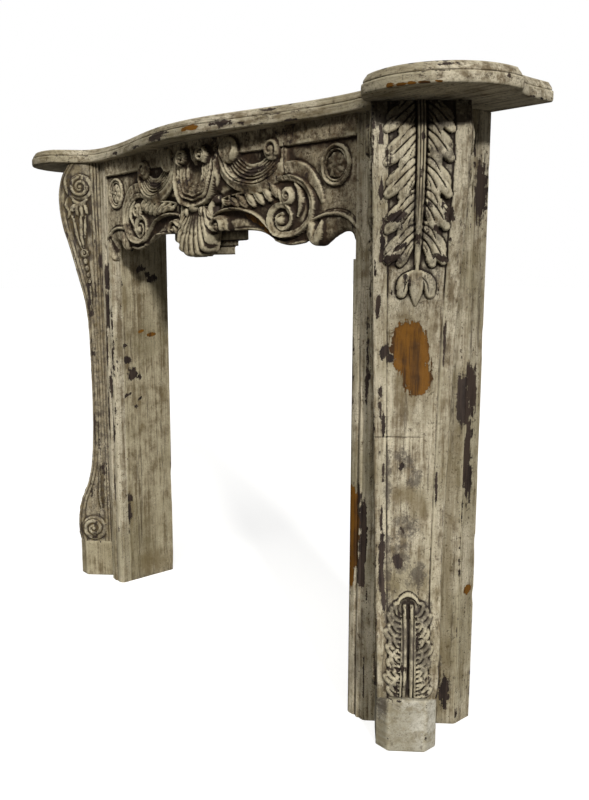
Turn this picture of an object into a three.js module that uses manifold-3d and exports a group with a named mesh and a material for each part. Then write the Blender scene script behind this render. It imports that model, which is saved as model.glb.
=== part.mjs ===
// A carved and painted wooden fireplace mantelpiece in the Louis XV manner, in millimetres, Z up.
//
// X runs along the shelf and Y runs back to the wall. Inside the outer group the wall is the plane
// y = 0 and everything stands in front of it, at negative y. The group then moves the whole mantel
// back by half its depth, so that its origin lies on the floor under the middle of its box.
// Each leg has a moulded stile and a reveal board at the opening, a board canted at 45 degrees that
// carries the S-shaped console, and a side board that returns to the wall.

import * as THREE from 'three';
import { mergeVertices } from 'three/addons/utils/BufferGeometryUtils.js';
import Module from 'manifold-3d';

const wasm = await Module();
wasm.setup();

// Clearance between touching pieces, and how deep the carving's roots go into its ground
const GAP = 0.3;
const SINK = 2;

// Opening between the legs
const OPENING_HALF_WIDTH = 418;
const LEG_HEIGHT = 1078;

// Legs, from the opening outwards
const STILE_WIDTH = 48.5;
const STILE_THICKNESS = 24;
const STILE_ROUND = 13;
const STILE_GROOVE_IN = 24;
const STILE_GROOVE_WIDTH = 4;
const STILE_GROOVE_DEPTH = 3;
const FRONT_FROM_WALL = 160;
const CANT_RUN = 117.5;
const CANT = Math.PI / 4;
const BOARD = 22;

const STILE_OUTER_X = OPENING_HALF_WIDTH + STILE_WIDTH;
const STILE_BACK_FROM_WALL = FRONT_FROM_WALL - STILE_THICKNESS;
const STILE_MITRE_X = STILE_OUTER_X - STILE_THICKNESS * Math.tan(CANT / 2) / 2;
const CANT_LEAN = STILE_THICKNESS / Math.cos(CANT);
const SIDE_OUTER_X = STILE_OUTER_X + CANT_RUN;
const SIDE_INNER_X = SIDE_OUTER_X - BOARD;
const BOARD_TOP = LEG_HEIGHT - GAP;

// Frieze: a board that laps onto the stiles, bows forward in the middle and has a band at its top
const FRIEZE_LAP = 13;
const FRIEZE_END_HEIGHT = 240;
const FRIEZE_BOW = 28;
const FRIEZE_UNDERCUT = 20;
const BAND_HEIGHT = 37;
const BAND_PROUD = 7;
const EDGE_ROUND = 7;

const FRIEZE_HALF_WIDTH = OPENING_HALF_WIDTH + FRIEZE_LAP;
const SHOULDER_HEIGHT = LEG_HEIGHT - FRIEZE_END_HEIGHT;
const FRIEZE_TOP = LEG_HEIGHT - GAP;

// The carving is drawn for this half width of opening, and stretches with the real one
const DRAWN_HALF_WIDTH = 418;

// Apron edge: [across, below the shelf] from the middle out to the cusp, then over the arch
const SWAG_EDGE = [
  [0, 185], [60, 184], [120, 183], [179, 185], [206, 193], [236, 208], [268, 214], [302, 211],
  [315, 207],
];
const ARCH_EDGE = [[328, 215], [345, 215], [367, 201], [393, 192], [408, 196], [415, 209], [417.7, 232]];

// Stepped block under the middle of the frieze: half width and underside of each step, with slanted ends
const BLOCK_THICKNESS = 23;
const BLOCK_END_SLANT = 31;
const BLOCK_TOP_BELOW_SHELF = 163;
const BLOCK_STEPS = [
  { halfWidth: 132, below: 200, setBack: 0 },
  { halfWidth: 94, below: 211, setBack: 4 },
  { halfWidth: 79, below: 228, setBack: 7 },
];

// Carved lines of one half of the frieze: [across, below the shelf]
const SHELL_RIM = [[79, 31], [79, 56], [92, 78], [122, 97], [172, 107], [214, 101], [246, 78], [257, 54]];
const SHELL_FLUTE = [[112, 54], [138, 78], [180, 90], [216, 82], [240, 64]];
const SHELL_FLUTES = 2;
const SHELL_FLUTE_PITCH = 14;
const FROND = [[84, 132], [100, 126], [118, 112]];
const FROND_LOBES = 5;
const FROND_PITCH = 29;
const SPINE = [[62, 147], [91, 140], [125, 138], [157, 142], [185, 152], [204, 166], [219, 182]];
const GREAT_SCROLL = [
  [250, 94], [285, 96], [316, 119], [326, 148], [313, 179], [280, 193], [248, 195], [228, 178],
  [232, 155], [252, 149], [267, 163],
];
const SMOOTH_BAND = [[258, 74], [287, 77], [313, 91], [333, 116], [344, 142]];
const ARCH_BEAD = [[330, 169], [350, 163], [375, 161], [400, 165], [419, 176]];
const MEDALLION = { across: 382, below: 79, halfWidth: 31, halfHeight: 33, width: 5, height: 5 };

// Carving in the middle of the frieze
const CARTOUCHE_RIMS = [
  { half: 70, low: 123, top: 32, width: 7, height: 17 },
  { half: 50, low: 106, top: 58, width: 5, height: 13 },
  { half: 32, low: 91, top: 60, width: 5, height: 15 },
];
const PALMETTE = {
  top: 128, middle: 173, low: 225, lift: 18, half: 46, lobes: 7, width: 9, height: 22, fall: 6,
};

// Consoles, in a frame turned to the cant: across, out from the board, up
const CONSOLE_ALONG_CANT = 50.9;
const CONSOLE_TOP_HALF_WIDTH = 77;
const CONSOLE_FOOT_HALF_WIDTH = 51;
const CONSOLE_BORDER_SHARE = 0.3;
const CONSOLE_PANEL_DEPTH = 3;
const CONSOLE_ARRIS = 3;
const CONSOLE_ROOT = 9;
const CONSOLE_LEVELS = 18;
// Share of the console's height, and how far it stands out there
const CONSOLE_PROFILE = [
  [0, 89], [0.031, 94], [0.071, 93], [0.116, 84], [0.158, 67], [0.209, 54], [0.285, 46], [0.392, 43],
  [0.534, 43], [0.636, 48], [0.717, 65], [0.788, 83], [0.847, 99], [0.895, 105], [0.936, 103],
  [0.972, 93], [1, 76],
];

// Plinth blocks
const PLINTH_HEIGHT = 95;
const PLINTH_LEDGE = 2;
const PLINTH_CHAMFER = 27;
const PLINTH_SIDE_CLEARANCE = 0.5;
const PLINTH_PROJECTION = Math.max(...CONSOLE_PROFILE.slice(0, 3).map(([, out]) => out)) + PLINTH_LEDGE;
const PLINTH_HALF_WIDTH = CONSOLE_FOOT_HALF_WIDTH + PLINTH_SIDE_CLEARANCE;

const CONSOLE_MIDDLE_X = STILE_OUTER_X + CONSOLE_ALONG_CANT;
const CONSOLE_MIDDLE_FROM_WALL = FRONT_FROM_WALL - CONSOLE_ALONG_CANT * Math.tan(CANT);
const CONSOLE_BOTTOM = PLINTH_HEIGHT + GAP;
const CONSOLE_TOP = LEG_HEIGHT - GAP;

// Leaf that droops from the top of each console: distances below the shelf
const LEAF_TOP = 4;
const LEAF_TONGUE = 266;
const LEAF_TIP = 316;
const LEAF_STEM = 5.5;
const LEAF_PAIRS = 5;
const LEAF_FIRST_TIP = 50;
const LEAF_PITCH = 50;
const LEAF_REACH = 54;
const LEAF_RISE = 44;
const LEAF_LOBE = 18;
const LEAF_RELIEF = 8;

// Leaf that stands on the foot of each console: distances above the plinth
const SPRAY_FOOT = 8;
const SPRAY_TOP = 177;
const SPRAY_HOOD = 24;
const SPRAY_PAIRS = 5;
const SPRAY_PITCH = 29;
const SPRAY_REACH = 36;
const SPRAY_LOBE = 10;
const SPRAY_RELIEF = 7;

// Scrolls on the sides of the consoles
const UPPER_SCROLL = { out: 52, below: 66, radius: 30 };
const LOWER_SCROLL = { out: 50, above: 38, radius: 34 };
const SIDE_RELIEF = 3.5;

// Shelf: it overhangs the frieze, bows with it and bulges over each console
const SHELF_THICKNESS = 32;
const SHELF_OVERHANG = 22;
const SHELF_BOW = 64;
const SHELF_RETURN = 45;
const SHELF_LOWER_BAND = 17;
const SHELF_GROOVE_WIDTH = 1.5;
const SHELF_GROOVE_DEPTH = 3;
const SHELF_NOSE_DEPTH = 15;
const BULGE_RADIUS = 136;
const BULGE_PAST_CONSOLE = 69.6;
const BULGE_BEHIND_CONSOLE = 21.9;
const BULGE_START_DEGREES = -114;
const BULGE_END_DEGREES = 6;
const BULGE_STEP_DEGREES = 6;
const NOTCH_IN = 78;
const NOTCH_OUT = 100;
const COVE_EASE = 14;
const END_SET_BACK = 25;
const END_STEP = 18;
const END_STEP_BEHIND_BULGE = 25;

const SHELF_WAIST_FROM_WALL = FRONT_FROM_WALL + SHELF_OVERHANG;
const BULGE_X = CONSOLE_MIDDLE_X + BULGE_PAST_CONSOLE;
const BULGE_FROM_WALL = CONSOLE_MIDDLE_FROM_WALL + BULGE_BEHIND_CONSOLE;
const SHELF_END_X = BULGE_X + BULGE_RADIUS - END_SET_BACK;
const END_STEP_FROM_WALL = BULGE_FROM_WALL - END_STEP_BEHIND_BULGE;
const NOTCH_X = BULGE_X - NOTCH_IN;
const NOTCH_FROM_WALL = BULGE_FROM_WALL + NOTCH_OUT;
const MANTEL_DEPTH = BULGE_FROM_WALL + BULGE_RADIUS;

const CARVED_PAINT = new THREE.MeshStandardMaterial({ color: 0x9a927c, roughness: 0.78, metalness: 0 });
const BOARD_PAINT = new THREE.MeshStandardMaterial({ color: 0xa39c86, roughness: 0.76, metalness: 0 });
const SHELF_PAINT = new THREE.MeshStandardMaterial({ color: 0xa29a84, roughness: 0.72, metalness: 0 });
const PLINTH_PAINT = new THREE.MeshStandardMaterial({ color: 0xb0ab98, roughness: 0.8, metalness: 0 });

/** Six times the signed volume that the triangles of a geometry enclose. */
function signedVolume(positions, faces) {
  const corner = (k) => new THREE.Vector3().fromArray(positions, 3 * faces[k]);
  let sum = 0;
  for (let k = 0; k < faces.length; k += 3) {
    sum += corner(k).dot(corner(k + 1).cross(corner(k + 2)));
  }
  return sum;
}

/** A body lofted through rings of points, with caps on the first and the last ring. */
function loft(rings, capTriangles) {
  const count = rings[0].length;
  const positions = rings.flat().flatMap((point) => point.toArray());
  const faces = [];
  for (let i = 0; i < rings.length - 1; i += 1) {
    for (let j = 0; j < count; j += 1) {
      const here = i * count + j;
      const beside = i * count + ((j + 1) % count);
      faces.push(here, beside, beside + count);
      faces.push(here, beside + count, here + count);
    }
  }
  const last = rings.length - 1;
  for (const [a, b, c] of capTriangles(rings[0])) {
    faces.push(a, c, b);
  }
  for (const [a, b, c] of capTriangles(rings[last])) {
    faces.push(last * count + a, last * count + b, last * count + c);
  }
  if (signedVolume(positions, faces) < 0) {
    faces.reverse();
  }
  const geometry = new THREE.BufferGeometry();
  geometry.setAttribute('position', new THREE.Float32BufferAttribute(positions, 3));
  geometry.setIndex(faces);
  return geometry;
}

/** Triangles of a small convex ring, as a fan in the ring's own order. */
function fanCap(ring) {
  return ring.slice(2).map((point, j) => [0, j + 1, j + 2]);
}

/** Cap maker for rings that lie in the plane of the two named axes. */
function flatCap(first, second) {
  return (ring) => {
    const outline = ring.map((point) => new THREE.Vector2(point[first], point[second]));
    const triangles = THREE.ShapeUtils.triangulateShape(outline, []);
    const area = (corners) => THREE.ShapeUtils.area(corners.map((k) => outline[k]));
    const total = triangles.reduce((sum, corners) => sum + area(corners), 0);
    const follows = total * THREE.ShapeUtils.area(outline) > 0;
    return triangles.map(([a, b, c]) => (follows ? [a, b, c] : [a, c, b]));
  };
}

/** A geometry as a solid that can be joined and cut. */
function toSolid(geometry) {
  const bare = geometry.clone();
  bare.deleteAttribute('normal');
  bare.deleteAttribute('uv');
  const merged = mergeVertices(bare);
  const vertProperties = new Float32Array(merged.getAttribute('position').array);
  const triVerts = new Uint32Array(merged.getIndex().array);
  return new wasm.Manifold(new wasm.Mesh({ numProp: 3, vertProperties, triVerts }));
}

/** A joined or cut solid as a geometry. */
function toGeometry(solid) {
  const mesh = solid.getMesh();
  const geometry = new THREE.BufferGeometry();
  geometry.setAttribute('position', new THREE.Float32BufferAttribute(mesh.vertProperties, mesh.numProp));
  geometry.setIndex(Array.from(mesh.triVerts));
  return geometry;
}

/** One solid with the given ornaments joined to it. */
function joined(body, ornaments) {
  return ornaments.reduce((solid, ornament) => solid.add(toSolid(ornament)), toSolid(body));
}

/** A straight board: a plan outline of [x, y] corners raised from one height to another. */
function board(corners, bottom, top) {
  const shape = new THREE.Shape(corners.map(([x, y]) => new THREE.Vector2(x, y)));
  const geometry = new THREE.ExtrudeGeometry(shape, { depth: top - bottom, bevelEnabled: false });
  return geometry.translate(0, 0, bottom);
}

/** Plan corners for one side of the mantel: 1 is the right side, -1 the left. */
function onSide(side, corners) {
  return corners.map(([x, y]) => [side * x, y]);
}

/** A ridge that keeps its size along its whole length. */
function fullSwell() {
  return 1;
}

/** A ridge of one size that tapers shortly at both ends. */
function evenSwell(t) {
  return Math.min(1, 0.4 + 5 * t, 0.4 + 5 * (1 - t));
}

/** A leaf's swelling: broad past the middle, narrow at both ends. */
function leafSwell(t) {
  return Math.sin(Math.PI * (0.12 + 0.78 * t)) ** 0.8;
}

/** A raised ridge along a spline of [across, up] points on a face. */
function ridge(face, points, { width, height, steps, swell = evenSwell }) {
  const path = new THREE.SplineCurve(points.map(([across, up]) => new THREE.Vector2(across, up)));
  const rings = [];
  for (let i = 0; i <= steps; i += 1) {
    const t = i / steps;
    const middle = path.getPoint(t);
    const along = path.getTangent(t);
    const size = swell(t);
    const at = (share, rise) => {
      const offset = share * width * size;
      return face(middle.x - along.y * offset, middle.y + along.x * offset, rise);
    };
    rings.push([at(-1, -SINK), at(0, height * size), at(1, -SINK)]);
  }
  return loft(rings, fanCap);
}

/** A low rounded boss on a face, with a flat spot on its top. */
function boss(face, { across, up, halfWidth, halfHeight, height, sides = 8 }) {
  const topShare = 0.6;
  const rings = [[1, -SINK], [topShare, height]].map(([share, rise]) => {
    const ring = [];
    for (let k = 0; k < sides; k += 1) {
      const angle = (2 * Math.PI * k) / sides;
      const x = across + halfWidth * share * Math.cos(angle);
      ring.push(face(x, up + halfHeight * share * Math.sin(angle), rise));
    }
    return ring;
  });
  return loft(rings, fanCap);
}

/** A scroll: a ridge that winds in to a round eye. */
function volute(face, { across, up, radius, height, start = 90, turns = 1.05, steps = 7 }) {
  const points = [];
  for (let i = 0; i <= steps; i += 1) {
    const t = i / steps;
    const angle = THREE.MathUtils.degToRad(start + 360 * turns * t);
    const reach = radius * (0.86 - 0.3 * t);
    points.push([across + reach * Math.cos(angle), up + reach * Math.sin(angle)]);
  }
  const winding = ridge(face, points, { width: 0.15 * radius, height, steps });
  const eyeRadius = 0.38 * radius;
  const eye = { across, up, halfWidth: eyeRadius, halfHeight: eyeRadius, height: 1.1 * height, sides: 6 };
  return [winding, boss(face, eye)];
}

/** How far a bowed front stands proud of its ends, at a place along it. */
function bowAt(x, bow) {
  const share = Math.min(1, Math.abs(x) / FRIEZE_HALF_WIDTH);
  return bow * Math.cos((Math.PI / 2) * share) ** 2;
}

/** The points of an outline moved in by one distance, with its two ends kept on the wall. */
function insetOutline(outline, distance) {
  return outline.map(([x, y], i) => {
    if (i === 0 || i === outline.length - 1) {
      return [x - Math.sign(x) * distance, y];
    }
    const before = new THREE.Vector2(x - outline[i - 1][0], y - outline[i - 1][1]).normalize();
    const after = new THREE.Vector2(outline[i + 1][0] - x, outline[i + 1][1] - y).normalize();
    const mitre = new THREE.Vector2(-before.y - after.y, before.x + after.x);
    const scale = (2 * distance) / mitre.lengthSq();
    return [x + mitre.x * scale, y + mitre.y * scale];
  });
}

/** A quarter hollow in plan from one [x, y] point to another, by way of a third. */
function cove(from, by, to, steps) {
  const corners = [from, by, to].map(([x, y]) => new THREE.Vector2(x, y));
  return new THREE.QuadraticBezierCurve(...corners).getPoints(steps).map(({ x, y }) => [x, y]);
}

/** The front of the shelf in plan, from its middle to its right end at the wall. */
function shelfHalfOutline() {
  const points = [];
  const bowSteps = 11;
  for (let i = 0; i < bowSteps; i += 1) {
    const x = (FRIEZE_HALF_WIDTH * i) / bowSteps;
    points.push([x, -SHELF_WAIST_FROM_WALL - bowAt(x, SHELF_BOW)]);
  }
  const waist = [FRIEZE_HALF_WIDTH, -SHELF_WAIST_FROM_WALL];
  points.push(...cove(waist, [NOTCH_X - COVE_EASE, waist[1]], [NOTCH_X, -NOTCH_FROM_WALL], 4));
  const bulgeSteps = Math.round((BULGE_END_DEGREES - BULGE_START_DEGREES) / BULGE_STEP_DEGREES);
  for (let i = 0; i <= bulgeSteps; i += 1) {
    const angle = THREE.MathUtils.degToRad(BULGE_START_DEGREES + BULGE_STEP_DEGREES * i);
    const x = BULGE_X + BULGE_RADIUS * Math.cos(angle);
    points.push([x, -BULGE_FROM_WALL + BULGE_RADIUS * Math.sin(angle)]);
  }
  const step = [SHELF_END_X + END_STEP, -END_STEP_FROM_WALL];
  points.push(...cove(step, [SHELF_END_X, step[1] + COVE_EASE], [SHELF_END_X, -SHELF_RETURN], 3));
  points.push([SHELF_END_X, 0]);
  return points;
}

/** The serpentine shelf: a flat lower band, a fine groove and a rounded upper edge. */
function shelfGeometry() {
  const right = shelfHalfOutline();
  const left = right.slice(1).reverse();
  const outline = [...onSide(-1, left), ...right];
  const nose = SHELF_NOSE_DEPTH - SHELF_GROOVE_DEPTH;
  const grooveTop = SHELF_LOWER_BAND + SHELF_GROOVE_WIDTH;
  const levels = [[0, 0], [SHELF_LOWER_BAND, 0]];
  for (const degrees of [0, 45, 90]) {
    const angle = THREE.MathUtils.degToRad(degrees);
    const rise = grooveTop + (SHELF_THICKNESS - grooveTop) * Math.sin(angle);
    levels.push([rise, SHELF_GROOVE_DEPTH + nose * (1 - Math.cos(angle))]);
  }
  const rings = levels.map(([rise, inset]) => insetOutline(outline, inset).map(
    ([x, y]) => new THREE.Vector3(x, y, LEG_HEIGHT + rise),
  ));
  return loft(rings, flatCap('x', 'y'));
}

/** A drawn place on the frieze as a real one: stretched across, and counted down from the shelf. */
function onFrieze([across, below]) {
  return [(across * OPENING_HALF_WIDTH) / DRAWN_HALF_WIDTH, LEG_HEIGHT - below];
}

/** A point on the bowed front of the frieze, raised off it by a height. */
function friezeFace(x, z, height) {
  return new THREE.Vector3(x, -FRONT_FROM_WALL - bowAt(x, FRIEZE_BOW) - height, z);
}

/** The lower edge of the carved apron, from the middle out to the leg, as [x, z] points. */
function apronOutline() {
  const points = [SWAG_EDGE, ARCH_EDGE].flatMap((edge) => {
    const curve = new THREE.SplineCurve(edge.map((place) => new THREE.Vector2(...onFrieze(place))));
    return curve.getPoints(edge.length - 1).map(({ x, y }) => [x, y]);
  });
  const foot = SHOULDER_HEIGHT + GAP;
  points.push([OPENING_HALF_WIDTH, foot], [FRIEZE_HALF_WIDTH - GAP, foot]);
  return points;
}

/** The bowed board of the frieze, with its top band and its apron edge. */
function friezeBoard() {
  const right = apronOutline();
  const left = onSide(-1, right.slice(1).reverse());
  const bandBottom = LEG_HEIGHT - BAND_HEIGHT;
  const hung = OPENING_HALF_WIDTH - EDGE_ROUND;
  const rings = [...left, ...right].map(([x, low]) => [
    new THREE.Vector3(x, -STILE_BACK_FROM_WALL, Math.abs(x) < hung ? low + FRIEZE_UNDERCUT : low),
    friezeFace(x, low, -EDGE_ROUND),
    friezeFace(x, low + EDGE_ROUND, 0),
    friezeFace(x, bandBottom, 0),
    friezeFace(x, bandBottom, BAND_PROUD),
    friezeFace(x, FRIEZE_TOP, BAND_PROUD),
    new THREE.Vector3(x, -STILE_BACK_FROM_WALL, FRIEZE_TOP),
  ]);
  return loft(rings, flatCap('y', 'z'));
}

/** The stepped block that carries the palmette, as boards that join the frieze. */
function steppedBlock() {
  return BLOCK_STEPS.map(({ halfWidth, below, setBack }) => {
    const front = -FRONT_FROM_WALL + setBack;
    const back = -FRONT_FROM_WALL + BLOCK_THICKNESS;
    const rear = halfWidth - BLOCK_END_SLANT;
    const corners = [[-halfWidth, front], [halfWidth, front], [rear, back], [-rear, back]];
    return board(corners, LEG_HEIGHT - below, LEG_HEIGHT - BLOCK_TOP_BELOW_SHELF + setBack);
  });
}

/** The ring of a medallion, as two half turns. */
function medallion(face, { across, below, halfWidth, halfHeight, width, height }) {
  const [middleX, middleZ] = onFrieze([across, below]);
  const steps = 5;
  return [0, Math.PI].map((start) => {
    const arc = [];
    for (let k = 0; k <= steps + 1; k += 1) {
      const angle = start + (Math.PI * k) / steps;
      arc.push([middleX + halfWidth * Math.cos(angle), middleZ + halfHeight * Math.sin(angle)]);
    }
    return ridge(face, start === 0 ? arc : arc.slice(0, -1), { width, height, steps, swell: fullSwell });
  });
}

/** The carving on one half of the frieze; side is 1 on the right and -1 on the left. */
function friezeCarving(side) {
  const face = (x, z, height) => friezeFace(side * x, z, height);
  const carve = (places, form) => ridge(face, places.map(onFrieze), form);
  const placed = ({ at, ...form }) => {
    const [across, up] = onFrieze(at);
    return { across, up, ...form };
  };
  const pieces = [
    carve(SHELL_RIM, { width: 8, height: 13, steps: 7 }),
    carve(SPINE, { width: 9, height: 10, steps: 6 }),
    carve(GREAT_SCROLL, { width: 6, height: 12, steps: 13 }),
    carve(SMOOTH_BAND, { width: 14, height: 6, steps: 4 }),
    carve(ARCH_BEAD, { width: 4, height: 4, steps: 5 }),
    boss(face, placed({ at: [108, 28], halfWidth: 24, halfHeight: 25, height: 15 })),
    boss(face, placed({ at: [249, 170], halfWidth: 9, halfHeight: 9, height: 14, sides: 6 })),
    boss(face, placed({ at: [332, 192], halfWidth: 13, halfHeight: 20, height: 9 })),
    ...volute(face, placed({ at: [227, 40], radius: 20, height: 11, start: -60 })),
    ...volute(face, placed({ at: [78, 176], radius: 25, height: 14, start: 100 })),
    ...volute(face, placed({ at: [267, 127], radius: 16, height: 9, start: 200 })),
    ...medallion(face, MEDALLION),
  ];
  for (let k = 0; k < SHELL_FLUTES; k += 1) {
    const rise = SHELL_FLUTE_PITCH * k;
    const flute = SHELL_FLUTE.map(([across, below], j) => [
      across + (j === 0 ? rise : 0),
      below - rise * Math.sin((Math.PI * j) / (SHELL_FLUTE.length - 1)),
    ]);
    pieces.push(carve(flute, { width: 5.5, height: 9 - k, steps: 5, swell: leafSwell }));
  }
  for (let k = 0; k < FROND_LOBES; k += 1) {
    const lobe = FROND.map(([across, below]) => [across + FROND_PITCH * k, below]);
    pieces.push(carve(lobe, { width: 11, height: 9, steps: 2, swell: leafSwell }));
  }
  return pieces;
}

/** The cartouche and palmette in the middle of the frieze. */
function centreCarving() {
  const pieces = [];
  for (const { half, low, top, width, height } of CARTOUCHE_RIMS) {
    const rim = [];
    const steps = 6;
    for (let k = 0; k <= steps; k += 1) {
      const angle = (Math.PI * k) / steps;
      rim.push(onFrieze([half * Math.cos(angle), top + (low - top) * Math.sin(angle)]));
    }
    pieces.push(ridge(friezeFace, rim, { width, height, steps }));
  }
  for (const side of [-1, 1]) {
    const face = (x, z, height) => friezeFace(side * x, z, height);
    const [curlX, curlZ] = onFrieze([34, 34]);
    pieces.push(...volute(face, { across: curlX, up: curlZ, radius: 20, height: 20, start: -20 }));
    const [budX, budZ] = onFrieze([40, 150]);
    pieces.push(boss(face, { across: budX, up: budZ, halfWidth: 12, halfHeight: 20, height: 13, sides: 6 }));
  }
  const ground = { across: 0, up: LEG_HEIGHT - PALMETTE.middle, halfWidth: PALMETTE.half, sides: 10 };
  pieces.push(boss(friezeFace, { ...ground, halfHeight: 56, height: 10 }));
  for (let k = 0; k < PALMETTE.lobes; k += 1) {
    const share = (2 * k) / (PALMETTE.lobes - 1) - 1;
    const lobe = [
      [0.26 * PALMETTE.half * share, PALMETTE.top],
      [0.65 * PALMETTE.half * share, PALMETTE.middle],
      [PALMETTE.half * share, PALMETTE.low - PALMETTE.lift * share ** 2],
    ];
    const form = { width: PALMETTE.width, steps: 3, swell: leafSwell };
    const height = PALMETTE.height - PALMETTE.fall * Math.abs(share);
    pieces.push(ridge(friezeFace, lobe.map(onFrieze), { ...form, height }));
  }
  return pieces;
}

/** The whole frieze as one carved piece. */
function friezeGeometry() {
  const ornaments = [...friezeCarving(1), ...friezeCarving(-1), ...centreCarving(), ...steppedBlock()];
  return toGeometry(joined(friezeBoard(), ornaments));
}

/** The moulded stile at the front of a leg, with its rounded inner edge and upright groove. */
function stileGeometry(side) {
  const front = -FRONT_FROM_WALL;
  const back = -STILE_BACK_FROM_WALL;
  const grooveX = OPENING_HALF_WIDTH + STILE_GROOVE_IN;
  const corners = [[OPENING_HALF_WIDTH, back]];
  const roundSteps = 4;
  for (let k = 0; k <= roundSteps; k += 1) {
    const angle = ((Math.PI / 2) * k) / roundSteps;
    const x = OPENING_HALF_WIDTH + STILE_ROUND * (1 - Math.cos(angle));
    corners.push([x, front + STILE_ROUND * (1 - Math.sin(angle))]);
  }
  corners.push([grooveX - STILE_GROOVE_WIDTH / 2, front]);
  corners.push([grooveX, front + STILE_GROOVE_DEPTH]);
  corners.push([grooveX + STILE_GROOVE_WIDTH / 2, front]);
  corners.push([STILE_OUTER_X - GAP, front]);
  corners.push([STILE_MITRE_X - GAP, back]);
  const post = toSolid(board(onSide(side, corners), 0, BOARD_TOP));
  const inner = OPENING_HALF_WIDTH - BOARD;
  const lap = [
    [inner, front - BOARD], [FRIEZE_HALF_WIDTH, front - BOARD],
    [FRIEZE_HALF_WIDTH, back + BOARD], [inner, back + BOARD],
  ];
  const room = toSolid(board(onSide(side, lap), SHOULDER_HEIGHT, LEG_HEIGHT));
  return toGeometry(post.subtract(room));
}

/** How far the cant board's outer face is from the wall, at a place across. */
function cantFromWall(x) {
  return FRONT_FROM_WALL - (x - STILE_OUTER_X) * Math.tan(CANT);
}

/** The canted board that carries the console. */
function cantBoardGeometry(side) {
  const corners = [
    [STILE_OUTER_X, -FRONT_FROM_WALL],
    [SIDE_OUTER_X, -cantFromWall(SIDE_OUTER_X)],
    [SIDE_INNER_X, -cantFromWall(SIDE_INNER_X) + CANT_LEAN],
    [STILE_MITRE_X, -STILE_BACK_FROM_WALL],
  ];
  return board(onSide(side, corners), 0, BOARD_TOP);
}

/** The outer return that runs back to the wall. */
function sideBoardGeometry(side) {
  const corners = [
    [SIDE_OUTER_X, -cantFromWall(SIDE_OUTER_X) + GAP],
    [SIDE_OUTER_X, 0],
    [SIDE_INNER_X, 0],
    [SIDE_INNER_X, -cantFromWall(SIDE_INNER_X) + CANT_LEAN + GAP],
  ];
  return board(onSide(side, corners), 0, BOARD_TOP);
}

/** The reveal that lines the opening from the stile back to the wall. */
function revealBoardGeometry(side) {
  const outer = OPENING_HALF_WIDTH + BOARD;
  const front = -STILE_BACK_FROM_WALL + GAP;
  const corners = [[OPENING_HALF_WIDTH, front], [outer, front], [outer, 0], [OPENING_HALF_WIDTH, 0]];
  return board(onSide(side, corners), 0, BOARD_TOP);
}

const consoleCurve = new THREE.SplineCurve(
  CONSOLE_PROFILE.map(([share, out]) => new THREE.Vector2(share, out)),
);
const consoleSamples = consoleCurve.getPoints(8 * CONSOLE_PROFILE.length);

/** How far a place up the console is, as a share of its height. */
function consoleShare(z) {
  return (z - PLINTH_HEIGHT) / (LEG_HEIGHT - PLINTH_HEIGHT);
}

/** How far the console stands out from its board at a height. */
function consoleOut(z) {
  const share = THREE.MathUtils.clamp(consoleShare(z), 0.0001, 1);
  const next = consoleSamples.findIndex((sample) => sample.x >= share);
  const before = consoleSamples[next - 1];
  const after = consoleSamples[next];
  return THREE.MathUtils.mapLinear(share, before.x, after.x, before.y, after.y);
}

/** Half the console's width at a height. */
function consoleHalfWidth(z) {
  return THREE.MathUtils.lerp(CONSOLE_FOOT_HALF_WIDTH, CONSOLE_TOP_HALF_WIDTH, consoleShare(z));
}

/** How wide the flat between the console's two borders is, to one side, at a height. */
function consolePanelHalfWidth(z) {
  return consoleHalfWidth(z) * (1 - CONSOLE_BORDER_SHARE);
}

/** The heights of the rings that the console's body is lofted through. */
function consoleLevels() {
  const levels = [];
  for (let i = 0; i <= CONSOLE_LEVELS; i += 1) {
    levels.push(THREE.MathUtils.lerp(CONSOLE_BOTTOM, CONSOLE_TOP, i / CONSOLE_LEVELS));
  }
  return levels;
}

/** How far the lofted body stands out at a height, on the straight between its two levels. */
function consoleLevelOut(z) {
  const levels = consoleLevels();
  const below = THREE.MathUtils.clamp(levels.filter((level) => level < z).length, 1, CONSOLE_LEVELS);
  const [low, high] = [levels[below - 1], levels[below]];
  return THREE.MathUtils.mapLinear(z, low, high, consoleOut(low), consoleOut(high));
}

/** A point on the console's front, border or sunk panel, raised off it by a height or rooted in it. */
function consoleFront(across, z, height) {
  const fromBorder = consolePanelHalfWidth(z) - Math.abs(across);
  const sunk = THREE.MathUtils.clamp(fromBorder, 0, CONSOLE_PANEL_DEPTH);
  const depth = height < 0 ? CONSOLE_ROOT : sunk - height;
  return new THREE.Vector3(across, depth - consoleLevelOut(z), z);
}

/** The bare S-shaped body of a console, with a flat border and a sunk panel. */
function consoleBody() {
  const rings = consoleLevels().map((z) => {
    const half = consoleHalfWidth(z);
    const border = consolePanelHalfWidth(z);
    const out = consoleOut(z);
    const edge = [
      [half, 0], [half, out - CONSOLE_ARRIS], [half - CONSOLE_ARRIS, out],
      [border, out], [border - CONSOLE_PANEL_DEPTH, out - CONSOLE_PANEL_DEPTH],
    ];
    const right = edge.map(([across, depth]) => new THREE.Vector3(across, -depth, z));
    const left = edge.map(([across, depth]) => new THREE.Vector3(-across, -depth, z));
    return [...right, ...left.reverse()];
  });
  return loft(rings, flatCap('x', 'y'));
}

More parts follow.
